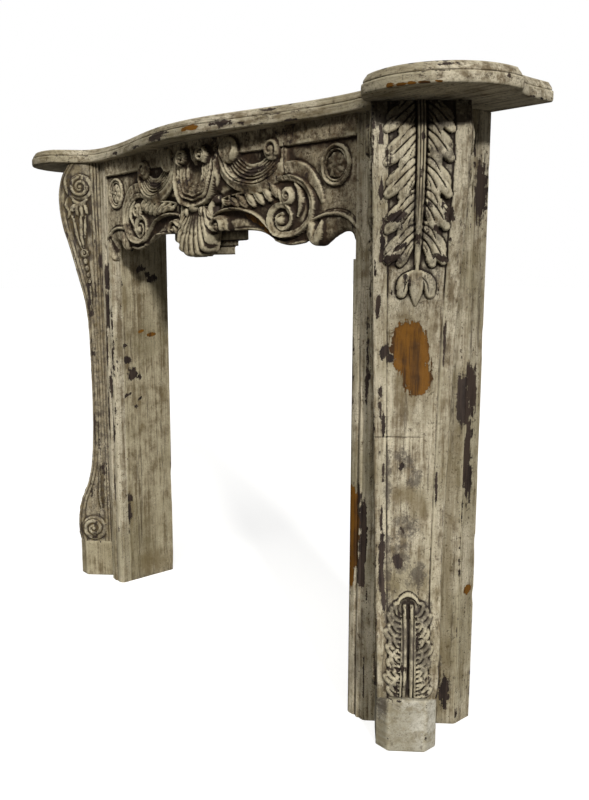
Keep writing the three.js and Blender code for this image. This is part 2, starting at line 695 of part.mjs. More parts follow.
/** The drooping leaf on the upper part of a console's front. */
function upperLeaf() {
  const up = (below) => LEG_HEIGHT - below;
  const stem = [[0, up(LEAF_TOP)], [0, up(LEAF_TIP / 2)], [0, up(LEAF_TIP)]];
  const tongue = [[0, up(LEAF_TONGUE)], [0, up((LEAF_TONGUE + LEAF_TIP) / 2)], [0, up(LEAF_TIP)]];
  const relief = { height: LEAF_RELIEF, steps: 3, swell: leafSwell };
  const pieces = [
    ridge(consoleFront, stem, { width: LEAF_STEM, height: LEAF_RELIEF + 1, steps: 7 }),
    ridge(consoleFront, tongue, { ...relief, width: 0.9 * LEAF_LOBE }),
  ];
  for (const side of [-1, 1]) {
    for (let k = 0; k < LEAF_PAIRS; k += 1) {
      const tip = LEAF_FIRST_TIP + LEAF_PITCH * k;
      const root = Math.max(LEAF_TOP, tip - LEAF_RISE);
      const lobe = [
        [side * LEAF_STEM, up(root)],
        [side * 0.55 * LEAF_REACH, up((root + tip) / 2)],
        [side * LEAF_REACH, up(tip)],
      ];
      pieces.push(ridge(consoleFront, lobe, { ...relief, width: LEAF_LOBE }));
    }
    const leaflet = { halfWidth: 12, halfHeight: 22, height: LEAF_RELIEF, sides: 6 };
    pieces.push(boss(consoleFront, { ...leaflet, across: side * 17, up: up(LEAF_TONGUE + 17) }));
  }
  return pieces;
}

/** The small upright leaf on the foot of a console's front, under its hood. */
function lowerLeaf() {
  const up = (above) => PLINTH_HEIGHT + above;
  const hoodHalf = 20;
  const hoodFoot = SPRAY_TOP - SPRAY_HOOD;
  const hood = [
    [-hoodHalf, up(hoodFoot)], [-0.7 * hoodHalf, up(SPRAY_TOP - SPRAY_HOOD / 4)], [0, up(SPRAY_TOP)],
    [0.7 * hoodHalf, up(SPRAY_TOP - SPRAY_HOOD / 4)], [hoodHalf, up(hoodFoot)],
  ];
  const pieces = [ridge(consoleFront, hood, { width: 6, height: SPRAY_RELIEF, steps: 4 })];
  for (const side of [-1, 1]) {
    const stem = [[side * 7, up(SPRAY_FOOT)], [side * 6, up(SPRAY_TOP / 2)], [side * 8, up(hoodFoot)]];
    pieces.push(ridge(consoleFront, stem, { width: 5, height: SPRAY_RELIEF + 1, steps: 5 }));
    for (let k = 0; k < SPRAY_PAIRS; k += 1) {
      const foot = SPRAY_FOOT + 3 + SPRAY_PITCH * k;
      const lobe = [[side * 10, up(foot)], [side * 24, up(foot + 6)], [side * SPRAY_REACH, up(foot + 20)]];
      const form = { width: SPRAY_LOBE, height: SPRAY_RELIEF, steps: 2, swell: leafSwell };
      pieces.push(ridge(consoleFront, lobe, form));
    }
  }
  return pieces;
}

/** The scrolls on the two sides of a console. */
function sideScrolls() {
  const pieces = [];
  const scrolls = [
    { across: UPPER_SCROLL.out, up: LEG_HEIGHT - UPPER_SCROLL.below, radius: UPPER_SCROLL.radius },
    { across: LOWER_SCROLL.out, up: PLINTH_HEIGHT + LOWER_SCROLL.above, radius: LOWER_SCROLL.radius },
  ];
  for (const side of [-1, 1]) {
    const face = (out, z, height) => new THREE.Vector3(side * (consoleHalfWidth(z) + height), -out, z);
    for (const scroll of scrolls) {
      pieces.push(...volute(face, { ...scroll, height: SIDE_RELIEF, start: 60, turns: 1.1, steps: 7 }));
    }
  }
  return pieces;
}

/** The whole carved console, cut off level under the shelf. */
function consoleGeometry() {
  const carved = joined(consoleBody(), [...upperLeaf(), ...lowerLeaf(), ...sideScrolls()]);
  const reach = 2 * Math.max(CONSOLE_TOP_HALF_WIDTH, CONSOLE_FOOT_HALF_WIDTH);
  const square = [[-reach, -reach], [reach, -reach], [reach, reach], [-reach, reach]];
  return toGeometry(carved.intersect(toSolid(board(square, CONSOLE_BOTTOM, CONSOLE_TOP))));
}

/** The plinth block under a console, with its two front corners cut off. */
function plinthGeometry() {
  const cut = PLINTH_CHAMFER * Math.SQRT1_2;
  const half = [
    [PLINTH_HALF_WIDTH - cut, -PLINTH_PROJECTION],
    [PLINTH_HALF_WIDTH, -PLINTH_PROJECTION + cut],
    [PLINTH_HALF_WIDTH, 0],
  ];
  return board([...half, ...onSide(-1, half).reverse()], 0, PLINTH_HEIGHT);
}

/** A named mesh. */
function piece(name, geometry, material) {
  const mesh = new THREE.Mesh(geometry, material);
  mesh.name = name;
  return mesh;
}

/** A console and its plinth block, turned to stand on the cant board of one side. */
function consoleGroup(name, side, geometry) {
  const turned = new THREE.Group();
  const clear = GAP * Math.SQRT1_2;
  turned.position.set(side * (CONSOLE_MIDDLE_X + clear), -CONSOLE_MIDDLE_FROM_WALL - clear, 0);
  turned.rotation.z = side * CANT;
  turned.add(piece(`${name}_console`, geometry, CARVED_PAINT));
  turned.add(piece(`${name}_plinth_block`, plinthGeometry(), PLINTH_PAINT));
  return turned;
}

const group = new THREE.Group();
group.position.set(0, MANTEL_DEPTH / 2, 0);
group.add(piece('shelf', shelfGeometry(), SHELF_PAINT));
group.add(piece('frieze', friezeGeometry(), CARVED_PAINT));
const carvedConsole = consoleGeometry();
for (const [name, side] of [['left', -1], ['right', 1]]) {
  group.add(piece(`${name}_stile`, stileGeometry(side), BOARD_PAINT));
  group.add(piece(`${name}_reveal_board`, revealBoardGeometry(side), BOARD_PAINT));
  group.add(piece(`${name}_cant_board`, cantBoardGeometry(side), BOARD_PAINT));
  group.add(piece(`${name}_side_board`, sideBoardGeometry(side), BOARD_PAINT));
  group.add(consoleGroup(name, side, carvedConsole));
}

export default group;
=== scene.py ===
"""Looks of a carved and painted wooden mantelpiece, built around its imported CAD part.

Sizes are in millimetres in the mantel's drawn frame: X runs along the shelf, Y back to the wall,
which is the plane y = 0, and Z up. They become metres in the row frame when a mesh is made.
"""

import logging
import math
from collections.abc import Sequence
from dataclasses import dataclass, field
from enum import Enum
from itertools import product

import bpy
import numpy as np
from mathutils import Matrix, Vector


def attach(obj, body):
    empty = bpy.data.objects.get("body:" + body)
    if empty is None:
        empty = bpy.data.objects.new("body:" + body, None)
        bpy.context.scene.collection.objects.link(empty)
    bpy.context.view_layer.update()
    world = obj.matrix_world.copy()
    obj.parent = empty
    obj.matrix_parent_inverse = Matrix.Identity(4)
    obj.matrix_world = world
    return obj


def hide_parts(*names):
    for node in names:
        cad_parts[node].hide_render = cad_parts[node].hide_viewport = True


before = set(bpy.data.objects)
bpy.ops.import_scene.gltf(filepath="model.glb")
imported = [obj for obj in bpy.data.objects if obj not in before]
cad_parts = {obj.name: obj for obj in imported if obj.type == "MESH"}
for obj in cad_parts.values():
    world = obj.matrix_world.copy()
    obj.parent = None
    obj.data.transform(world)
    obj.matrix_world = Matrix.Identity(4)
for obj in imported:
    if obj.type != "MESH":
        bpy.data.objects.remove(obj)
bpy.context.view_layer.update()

Array = np.ndarray
Points = list[tuple[float, float]]
Material = bpy.types.Material
Socket = bpy.types.NodeSocket
log = logging.getLogger("mantelpiece")

MM = 0.001
GAP = 0.3
MANTEL_DEPTH = 267.0
LEG_HEIGHT = 1078.0
BOARD_TOP = LEG_HEIGHT - GAP
OPENING_HALF_WIDTH = 418.0
FRONT_FROM_WALL = 160.0
STILE_THICKNESS = 24.0
STILE_OUTER_X = OPENING_HALF_WIDTH + 48.5
STILE_BACK_FROM_WALL = FRONT_FROM_WALL - STILE_THICKNESS
CANT_RUN = 117.5
SIDE_OUTER_X = STILE_OUTER_X + CANT_RUN
BOARD = 22.0
SIDE_INNER_X = SIDE_OUTER_X - BOARD
CANT = math.radians(45)
STILE_MITRE_X = STILE_OUTER_X - STILE_THICKNESS * math.tan(CANT / 2) / 2
CANT_LEAN = STILE_THICKNESS / math.cos(CANT)
FRIEZE_HALF_WIDTH = OPENING_HALF_WIDTH + 13.0
FRIEZE_BOW = 28.0
CONSOLE_ALONG_CANT = 50.9
CONSOLE_MIDDLE_X = STILE_OUTER_X + CONSOLE_ALONG_CANT
CONSOLE_MIDDLE_FROM_WALL = FRONT_FROM_WALL - CONSOLE_ALONG_CANT
PLINTH_HEIGHT = 95.0
# Values on the mesh points; recess and stain also carry painted shade on some pieces.
WEAR = ("recess", "crest", "bare", "dark", "stain", "olive")


# Shapes

def smooth_path(points: Points, spacing: float = 3.5) -> Array:
    """A smooth curve through given points.

    Args:
        points: the places that it passes, as (across, up).
        spacing: the distance between the points of the curve.

    Returns:
        The curve's points, one in each row.
    """
    given = np.asarray(points, float)
    ends = np.vstack([2 * given[0] - given[1], given, 2 * given[-1] - given[-2]])
    runs = []
    for a, b, c, d in zip(ends, ends[1:], ends[2:], ends[3:]):
        count = max(2, math.ceil(np.linalg.norm(c - b) / spacing))
        t = np.linspace(0, 1, count, endpoint=False)[:, None]
        curve = 2 * b + (c - a) * t + (2 * a - 5 * b + 4 * c - d) * t**2 + (3 * b - a - 3 * c + d) * t**3
        runs.append(curve / 2)
    return np.vstack([*runs, given[-1:]])


def lattice_noise(points: Array, size: float, seed: int) -> Array:
    """Smooth random values from -1 to 1 in space.

    Args:
        points: places, with three numbers in the last axis.
        size: the distance over which the noise changes.
        seed: another seed gives another noise.

    Returns:
        One value for each place.
    """
    scaled = points / size
    cell = np.floor(scaled).astype(np.int64)
    share = scaled - cell
    share = share * share * (3 - 2 * share)
    total = np.zeros(points.shape[:-1])
    for corner in product((0, 1), repeat=3):
        at = cell + np.array(corner)
        mixed = at[..., 0] * 73856093 ^ at[..., 1] * 19349663 ^ at[..., 2] * 83492791 ^ seed * 60493
        mixed = ((mixed & 0xFFFFFF) * 48271 + 11) & 0x7FFFFFFF
        mixed = ((mixed ^ (mixed >> 11)) * 69621) & 0x7FFFFFFF
        weight = np.prod(np.where(np.array(corner), share, 1 - share), axis=-1)
        total += weight * (((mixed >> 7) & 0xFFFF) / 0x7FFF - 1)
    return total


def blurred(values: Array, reach: int) -> Array:
    """A grid of values, each replaced by the mean of its neighbours on both axes.

    Args:
        values: the grid.
        reach: how many neighbours count on each side.

    Returns:
        The smoothed grid.
    """
    for axis in (0, 1):
        widths = [(reach + 1, reach) if k == axis else (0, 0) for k in (0, 1)]
        summed = np.cumsum(np.pad(values, widths, mode="edge"), axis=axis)
        high = np.take(summed, range(2 * reach + 1, summed.shape[axis]), axis=axis)
        low = np.take(summed, range(0, summed.shape[axis] - 2 * reach - 1), axis=axis)
        values = (high - low) / (2 * reach + 1)
    return values


def ramp(values: Array, low: float, high: float) -> Array:
    """Values from 0 at the low mark to 1 at the high mark, eased at both ends."""
    share = np.clip((values - low) / (high - low), 0, 1)
    return share * share * (3 - 2 * share)


class Section(Enum):
    """The form of a carved line, cut across."""

    ROUND = "round"
    SHARP = "sharp"
    FLAT = "flat"
    CHANNEL = "channel"


@dataclass
class Relief:
    """Carving as heights over the points of a face."""

    across: Array
    up: Array
    height: Array = field(init=False)

    def __post_init__(self) -> None:
        """Starts from a bare face."""
        self.height = np.zeros_like(self.across)

    def trace(self, path: Array, reach: float) -> tuple[Array, Array, Array, Array]:
        """Where the face lies along a path.

        Args:
            path: the points of the path.
            reach: how far from the path the face counts.

        Returns:
            Which points are near, and for each its distance, its share of the length and its side.
        """
        low = path.min(0) - reach
        high = path.max(0) + reach
        near = (self.across >= low[0]) & (self.across <= high[0])
        near &= (self.up >= low[1]) & (self.up <= high[1])
        x = self.across[near]
        z = self.up[near]
        steps = np.diff(path, axis=0)
        lengths = np.maximum(np.linalg.norm(steps, axis=1), 1e-6)
        starts = np.concatenate([[0], np.cumsum(lengths)])
        distance = np.full(x.shape, np.inf)
        along = np.zeros_like(x)
        side = np.zeros_like(x)
        for start, step, length, before in zip(path, steps, lengths, starts):
            share = np.clip(((x - start[0]) * step[0] + (z - start[1]) * step[1]) / length**2, 0, 1)
            off_x = x - start[0] - share * step[0]
            off_z = z - start[1] - share * step[1]
            here = np.hypot(off_x, off_z)
            closer = here < distance
            distance = np.where(closer, here, distance)
            along = np.where(closer, (before + share * length) / starts[-1], along)
            side = np.where(closer, np.sign(step[0] * off_z - step[1] * off_x), side)
        return near, distance, along, side

    def line(
        self, points: Points, width: float, height: float, section: Section = Section.ROUND,
        ends: tuple[float, float] = (0.45, 0.45), belly: float = 0.5, ground: float = 0.0,
    ) -> None:
        """Raises a carved line along a smooth path.

        Args:
            points: the path, as (across, up).
            width: half the line's width where it is widest.
            height: how far it stands out there.
            section: its form, cut across.
            ends: its size at the start and at the end, as shares.
            belly: where along it the line is widest, as a share.
            ground: how far the line's foot lies above the bare face.
        """
        near, distance, along, side = self.trace(smooth_path(points), width)
        from_start = np.clip(along / max(belly, 1e-3), 0, 1)
        to_end = np.clip((1 - along) / max(1 - belly, 1e-3), 0, 1)
        first = ends[0] + (1 - ends[0]) * np.sin(from_start * math.pi / 2)
        last = ends[1] + (1 - ends[1]) * np.sin(to_end * math.pi / 2)
        size = np.minimum(first, last)
        offset = np.clip(distance / (width * size), 0, 1)
        if section is Section.SHARP:
            form = (1 - offset) ** 0.8
        elif section is Section.FLAT:
            form = 0.8 * np.sqrt(1 - np.clip((offset - 0.6) / 0.4, 0, 1) ** 2) + 0.2 * (1 - offset**2)
        elif section is Section.CHANNEL:
            tilt = 0.5 + 0.5 * side * offset
            form = (0.45 + 0.55 * tilt**2) * np.sqrt(1 - np.clip((offset - 0.75) / 0.25, 0, 1) ** 2)
        else:
            form = np.sqrt(1 - offset**2)
        rise = ground + height * size * form
        self.height[near] = np.where(offset < 1, np.maximum(self.height[near], rise), self.height[near])

    def cut(
        self, points: Points, width: float, depth: float, ends: tuple[float, float] = (0.3, 0.3),
    ) -> None:
        """Cuts a rounded groove along a smooth path.

        Args:
            points: the path, as (across, up).
            width: half the groove's width.
            depth: how deep it goes.
            ends: its size at the start and at the end, as shares.
        """
        near, distance, along, _ = self.trace(smooth_path(points), width)
        size = np.minimum(ends[0] + 4 * along, ends[1] + 4 * (1 - along)).clip(0, 1)
        offset = np.clip(distance / (width * size), 0, 1)
        self.height[near] -= depth * size * (1 - offset**2) ** 1.5

    def dome(
        self, at: tuple[float, float], half: tuple[float, float], height: float, flat: float = 0.5,
    ) -> None:
        """Raises a round boss.

        Args:
            at: its middle, as (across, up).
            half: half its width and half its height on the face.
            height: how far it stands out.
            flat: the power of its roundness: less is flatter.
        """
        reach = np.hypot((self.across - at[0]) / half[0], (self.up - at[1]) / half[1])
        rise = height * np.clip(1 - reach**2, 0, 1) ** flat
        self.height = np.where(reach < 1, np.maximum(self.height, rise), self.height)

    def sink(self, at: tuple[float, float], half: tuple[float, float], depth: float) -> None:
        """Sinks a soft round hollow, with its middle, half sizes and depth as in a dome."""
        reach = np.hypot((self.across - at[0]) / half[0], (self.up - at[1]) / half[1])
        self.height -= depth * np.clip(1 - reach**2, 0, 1)

    def volute(
        self, at: tuple[float, float], radius: float, height: float, start: float,
        turns: float = 1.9, hand: int = 1,
    ) -> None:
        """Raises a scroll that winds in to a round eye.

        Args:
            at: the eye's middle, as (across, up).
            radius: the scroll's outer radius.
            height: how far it stands out.
            start: the direction of its outer end, in degrees from the across axis.
            turns: how often it winds round.
            hand: 1 winds anticlockwise, -1 clockwise.
        """
        self.dome(at, (radius, radius), 0.45 * height, 0.3)
        path = []
        for share in np.linspace(0, 1, int(10 * turns)):
            angle = math.radians(start + hand * 360 * turns * share)
            reach = radius * (0.84 - 0.6 * share)
            path.append((at[0] + reach * math.cos(angle), at[1] + reach * math.sin(angle)))
        self.line(path, 0.16 * radius, 0.6 * height, ends=(0.9, 0.7), ground=0.4 * height)
        self.dome(at, (0.2 * radius, 0.2 * radius), 1.1 * height)

    def ellipse(
        self, at: tuple[float, float], half: tuple[float, float], width: float, height: float,
        span: tuple[float, float] = (0.0, 360.0), section: Section = Section.ROUND,
    ) -> None:
        """Raises a line along part of an ellipse.

        Args:
            at: the ellipse's middle.
            half: its half width and half height.
            width: half the line's width.
            height: how far it stands out.
            span: from which angle to which it runs, in degrees.
            section: the line's form, cut across.
        """
        angles = np.radians(np.linspace(*span, 17))
        path = [(at[0] + half[0] * math.cos(a), at[1] + half[1] * math.sin(a)) for a in angles]
        whole = 1.0 if span[1] - span[0] >= 360 else 0.4
        self.line(path, width, height, section, ends=(whole, whole))

    def hollows(self, reach: int, depth: float) -> Array:
        """How deep each point lies below what is round it, from 0 to 1.

        Args:
            reach: how many points on each side are compared.
            depth: the difference in millimetres that counts as full.

        Returns:
            The shares.
        """
        return np.clip((blurred(self.height, reach) - self.height) / depth, 0, 1)

    def crests(self, reach: int, rise: float) -> Array:
        """How far each point stands above what is round it, with the values as in hollows."""
        return np.clip((self.height - blurred(self.height, reach)) / rise, 0, 1)


@dataclass(frozen=True)
class Patch:
    """A worn or stained place on a face, in the two directions of that face."""

    across: float
    up: float
    half_width: float
    half_height: float
    lean: float = 0.0

    def share(self, across: Array, up: Array) -> Array:
        """How much of the patch there is: 0.5 at its edge, 0 well outside it and 1 inside.

        Args:
            across: places along the face's first direction.
            up: their heights.

        Returns:
            The share at each place.
        """
        lean = math.radians(self.lean)
        x = (across - self.across) * math.cos(lean) + (up - self.up) * math.sin(lean)
        z = (up - self.up) * math.cos(lean) - (across - self.across) * math.sin(lean)
        reach = np.hypot(x / self.half_width, z / self.half_height)
        return np.clip(1.5 - reach, 0, 1)


@dataclass(frozen=True)
class Marks:
    """Where one piece is bare, bruised dark, stained and browned."""

    bare: Sequence[Patch] = ()
    dark: Sequence[Patch] = ()
    stain: Sequence[Patch] = ()
    olive: Sequence[Patch] = ()


def patched(across: Array, up: Array, patches: Sequence[Patch]) -> Array:
    """The strongest of several patches at each point."""
    return np.max([np.zeros_like(across), *(patch.share(across, up) for patch in patches)], axis=0)


def rounded_outline(corners: Points, radius: float, spacing: float) -> tuple[Array, Array]:
    """A closed outline with rounded corners and short, even edges.

    Args:
        corners: the outline's corners in order.
        radius: the radius of each rounded corner.
        spacing: the longest edge.

    Returns:
        The outline's points, and for each point 1 on a rounded corner and 0 on a straight.
    """
    given = np.asarray(corners, float)
    points: list[Array] = []
    worn: list[float] = []
    for before, here, after in zip(np.roll(given, 1, 0), given, np.roll(given, -1, 0)):
        back = (before - here) / np.linalg.norm(before - here)
        on = (after - here) / np.linalg.norm(after - here)
        reach = min(radius, 0.45 * np.linalg.norm(before - here), 0.45 * np.linalg.norm(after - here))
        start, end = here + back * reach, here + on * reach
        if points:
            straight = max(1, math.ceil(np.linalg.norm(start - points[-1]) / spacing))
            for k in range(1, straight):
                points.append(points[-k] + (start - points[-k]) * k / straight)
                worn.append(0.0)
        for t in (0, 0.25, 0.5, 0.75, 1):
            points.append((1 - t) ** 2 * start + 2 * t * (1 - t) * here + t**2 * end)
            worn.append(1.0)
    first = points[0]
    last = points[-1]
    straight = max(1, math.ceil(np.linalg.norm(first - last) / spacing))
    for k in range(1, straight):
        points.append(last + (first - last) * k / straight)
        worn.append(0.0)
    return np.array(points), np.array(worn)


class Piece:
    """A closed mesh lofted through rings of points, with its wear as values on the points."""

    def __init__(self, name: str, rings: Array, fields: dict[str, Array], sharp: float = 40.0) -> None:
        """Makes the object.

        Args:
            name: the object's name.
            rings: closed rings of drawn points, as (ring, point, xyz).
            fields: values from 0 to 1 for each point, by name.
            sharp: edges that turn more than this many degrees stay sharp.
        """
        rows, count = rings.shape[:2]
        order = np.arange(rows * count).reshape(rows, count)
        here, above = order[:-1], order[1:]
        quads = np.stack([here, np.roll(here, -1, 1), np.roll(above, -1, 1), above], -1).reshape(-1, 4)
        points = rings.reshape(-1, 3)
        corners = points[quads]
        turns = np.cross(corners[:, 2] - corners[:, 0], corners[:, 3] - corners[:, 1])
        caps = [order[0][::-1].tolist(), order[-1].tolist()]
        centre = points.mean(0)
        volume = ((corners.mean(1) - centre) * turns).sum()
        for cap in caps:
            ring = points[cap] - centre
            volume += np.cross(ring, np.roll(ring, -1, 0)).sum(0) @ ring.mean(0)
        faces = quads.tolist() + caps
        if volume < 0:
            faces = [face[::-1] for face in faces]
        placed = (points + np.array([0.0, MANTEL_DEPTH / 2, 0.0])) * MM
        mesh = bpy.data.meshes.new(name)
        mesh.from_pydata(placed.tolist(), [], faces)
        for key in WEAR:
            values = np.zeros(rows * count, np.float32)
            if key in fields:
                values = np.asarray(fields[key], np.float32).reshape(-1)
            mesh.attributes.new(key, "FLOAT", "POINT").data.foreach_set("value", values)
        mesh.shade_smooth()
        mesh.set_sharp_from_angle(angle=math.radians(sharp))
        self.object = bpy.data.objects.new(name, mesh)
        bpy.context.scene.collection.objects.link(self.object)
        self.faces = len(faces)

    def dress(self, material: Material, slot: str, replaces: str | None = None) -> None:
        """Gives the piece its finish and its place in the frame.

        Args:
            material: what it is painted with.
            slot: a name for its finish, which is only written to the log.
            replaces: the CAD node that it stands for, if there is one.
        """
        self.object.data.materials.append(material)
        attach(self.object, "root")
        if replaces:
            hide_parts(replaces)
        log.info("%s: %d faces, %s", self.object.name, self.faces, slot)


# Finishes

class NodeSheet:
    """A shader node tree that is filled by calls."""

    def __init__(self, tree: bpy.types.NodeTree) -> None:
        """Keeps the tree."""
        self.tree = tree

    def add(self, kind: str, inputs: dict | None = None, **settings: object) -> bpy.types.Node:
        """Adds a node.

        Args:
            kind: the node's type, without its first word.
            inputs: values or sockets by the input's name or number.
            settings: properties of the node.

        Returns:
            The node.
        """
        node = self.tree.nodes.new("ShaderNode" + kind)
        for key, value in settings.items():
            setattr(node, key, value)
        for key, value in (inputs or {}).items():
            if isinstance(value, Socket):
                self.tree.links.new(value, node.inputs[key])
            else:
                node.inputs[key].default_value = value
        return node

    def noise(self, vector: Socket, scale: float, detail: float = 3, rough: float = 0.55) -> Socket:
        """A noise texture's value at the given scale."""
        inputs = {"Vector": vector, "Scale": scale, "Detail": detail, "Roughness": rough}
        return self.add("TexNoise", inputs).outputs["Fac"]

    def step(self, value: Socket, low: float, high: float) -> Socket:
        """A value mapped to 0 at one mark and to 1 at the other, eased."""
        inputs = {"Value": value, "From Min": low, "From Max": high}
        return self.add("MapRange", inputs, interpolation_type="SMOOTHSTEP").outputs["Result"]

    def math(self, operation: str, first: object, second: object = 0.0, clamp: bool = False) -> Socket:
        """The result of one sum on two values or sockets."""
        inputs = {0: first, 1: second}
        return self.add("Math", inputs, operation=operation, use_clamp=clamp).outputs[0]

    def mix(self, share: object, first: object, second: object) -> Socket:
        """One colour turned into another by a share."""
        node = self.add("Mix", {0: share, 6: first, 7: second}, data_type="RGBA")
        return node.outputs[2]


def new_group(name: str, inputs: dict[str, object], outputs: dict[str, str]) -> tuple:
    """Starts a shader node group with named inputs and outputs.

    Args:
        name: the group's name.
        inputs: each input's name and its default, whose form gives its kind.
        outputs: each output's name and kind.

    Returns:
        The group, a sheet to fill it, and the nodes of its inputs and outputs.
    """
    group = bpy.data.node_groups.new(name, "ShaderNodeTree")
    for key, value in inputs.items():
        kind = "NodeSocketFloat"
        if value is None:
            kind = "NodeSocketVector"
        elif isinstance(value, tuple):
            kind = "NodeSocketColor"
        socket = group.interface.new_socket(key, in_out="INPUT", socket_type=kind)
        if value is not None:
            socket.default_value = value
    for key, kind in outputs.items():
        group.interface.new_socket(key, in_out="OUTPUT", socket_type="NodeSocket" + kind)
    sheet = NodeSheet(group)
    return group, sheet, sheet.tree.nodes.new("NodeGroupInput"), sheet.tree.nodes.new("NodeGroupOutput")


def srgb(red: float, green: float, blue: float) -> tuple[float, float, float, float]:
    """A colour given in display values from 0 to 255, as the shader's linear values.

    Args:
        red: the red channel.
        green: the green channel.
        blue: the blue channel.

    Returns:
        The colour with full opacity.
    """
    def linear(value: float) -> float:
        """One channel."""
        share = value / 255
        return share / 12.92 if share <= 0.04045 else ((share + 0.055) / 1.055) ** 2.4
    return (linear(red), linear(green), linear(blue), 1.0)


def aged_paint_group() -> bpy.types.NodeTree:
    """Old brushed paint: streaked along the grain, mottled, rubbed thin, cracked and flecked.

    Returns:
        The group.
    """
    inputs = {
        "Vector": None, "Place": None, "Light": (0.6, 0.5, 0.4, 1.0), "Shade": (0.3, 0.25, 0.2, 1.0),
        "Tint": (0.3, 0.3, 0.2, 1.0), "Grime": 0.5, "Fleck": 0.5,
    }
    outputs = {"Color": "Color", "Roughness": "Float", "Height": "Float"}
    group, sheet, given, made = new_group("Aged paint", inputs, outputs)
    get = given.outputs
    broad = sheet.noise(get["Place"], 6.0, 3, 0.6)
    cloud = sheet.noise(get["Place"], 34.0, 4, 0.7)
    band = sheet.noise(get["Vector"], 48.0, 3, 0.6)
    streak = sheet.noise(get["Vector"], 150.0, 4, 0.75)
    hair = sheet.noise(get["Vector"], 420.0, 2, 0.6)
    body = sheet.math("ADD", sheet.math("MULTIPLY", streak, 0.35), sheet.math("MULTIPLY", band, 0.3))
    body = sheet.math("ADD", body, sheet.math("MULTIPLY", cloud, 0.35))
    color = sheet.mix(sheet.step(body, 0.41, 0.56), get["Shade"], get["Light"])
    color = sheet.mix(sheet.math("MULTIPLY", sheet.step(broad, 0.44, 0.66), 0.6), color, get["Tint"])
    grime = (0.07, 0.048, 0.028, 1.0)
    rubbed = sheet.math("MULTIPLY", sheet.step(hair, 0.5, 0.72), 0.5)
    color = sheet.mix(sheet.math("MULTIPLY", rubbed, get["Grime"]), color, grime)
    lines = sheet.noise(get["Vector"], 88.0, 6, 0.82)
    worn = sheet.math("MULTIPLY", sheet.step(lines, 0.57, 0.62), get["Grime"])
    color = sheet.mix(worn, color, grime)
    flake = sheet.step(sheet.noise(get["Place"], 105.0, 5, 0.75), 0.6, 0.63)
    flaked = sheet.math("MULTIPLY", sheet.math("MULTIPLY", flake, get["Fleck"]), 1.4, clamp=True)
    color = sheet.mix(flaked, color, grime)
    bend = sheet.add("Mix", {0: 0.012, 4: get["Place"]}, data_type="VECTOR")
    warp = sheet.add("TexNoise", {"Vector": get["Place"], "Scale": 60.0, "Detail": 2.0}).outputs["Color"]
    sheet.tree.links.new(warp, bend.inputs[5])
    cells = {"Vector": bend.outputs[1], "Scale": 135.0}
    edge = sheet.add("TexVoronoi", cells, feature="DISTANCE_TO_EDGE").outputs["Distance"]
    crack = sheet.math("SUBTRACT", 1.0, sheet.step(edge, 0.01, 0.06))
    crack = sheet.math("MULTIPLY", crack, sheet.step(cloud, 0.42, 0.6))
    color = sheet.mix(sheet.math("MULTIPLY", crack, sheet.math("MULTIPLY", get["Grime"], 0.5)), color, grime)
    speck = sheet.noise(get["Place"], 300.0, 2, 0.6)
    dots = sheet.math("MULTIPLY", sheet.step(speck, 0.62, 0.68), get["Fleck"])
    color = sheet.mix(dots, color, (0.03, 0.02, 0.014, 1.0))
    links = sheet.tree.links
    links.new(color, made.inputs["Color"])
    links.new(sheet.math("ADD", 0.6, sheet.math("MULTIPLY", hair, 0.3)), made.inputs["Roughness"])
    height = sheet.math("ADD", sheet.math("MULTIPLY", streak, 0.6), sheet.math("MULTIPLY", hair, 0.3))
    height = sheet.math("SUBTRACT", height, sheet.math("MULTIPLY", sheet.math("ADD", worn, crack), 0.35))
    links.new(sheet.math("SUBTRACT", height, sheet.math("MULTIPLY", dots, 0.5)), made.inputs["Height"])
    return group


def glaze_group() -> bpy.types.NodeTree:
    """Dark glaze left in the hollows, also used as painted shade where the recess values carry it, and pale
    paint rubbed bright on the crests.

    Returns:
        The group.
    """
    inputs = {
        "Place": None, "Color": (0.5, 0.5, 0.5, 1.0), "Glaze": (0.03, 0.02, 0.015, 1.0),
        "Rub": (0.6, 0.55, 0.45, 1.0), "Recess And Shade": 0.0, "Crest": 0.0, "Strength": 1.0,
    }
    group, sheet, given, made = new_group("Glaze and rub", inputs, {"Color": "Color", "Mask": "Float"})
    get = given.outputs
    drift = sheet.noise(get["Place"], 26.0, 4, 0.7)
    crumb = sheet.noise(get["Place"], 190.0, 3, 0.6)
    spread = sheet.math("MULTIPLY", sheet.math("SUBTRACT", drift, 0.5), 0.9)
    rough = sheet.math("MULTIPLY", sheet.math("SUBTRACT", crumb, 0.5), 0.5)
    depth = sheet.math("MULTIPLY", get["Recess And Shade"], get["Strength"])
    level = sheet.math("ADD", depth, sheet.math("MULTIPLY", sheet.math("ADD", spread, rough), 0.8))
    dark = sheet.math("MULTIPLY", sheet.step(level, 0.12, 0.75), sheet.step(depth, 0.0, 0.15))
    rub = sheet.math("MULTIPLY", sheet.math("ADD", get["Crest"], rough, clamp=True), 0.6)
    color = sheet.mix(rub, get["Color"], get["Rub"])
    color = sheet.mix(dark, color, get["Glaze"])
    sheet.tree.links.new(color, made.inputs["Color"])
    sheet.tree.links.new(dark, made.inputs["Mask"])
    return group


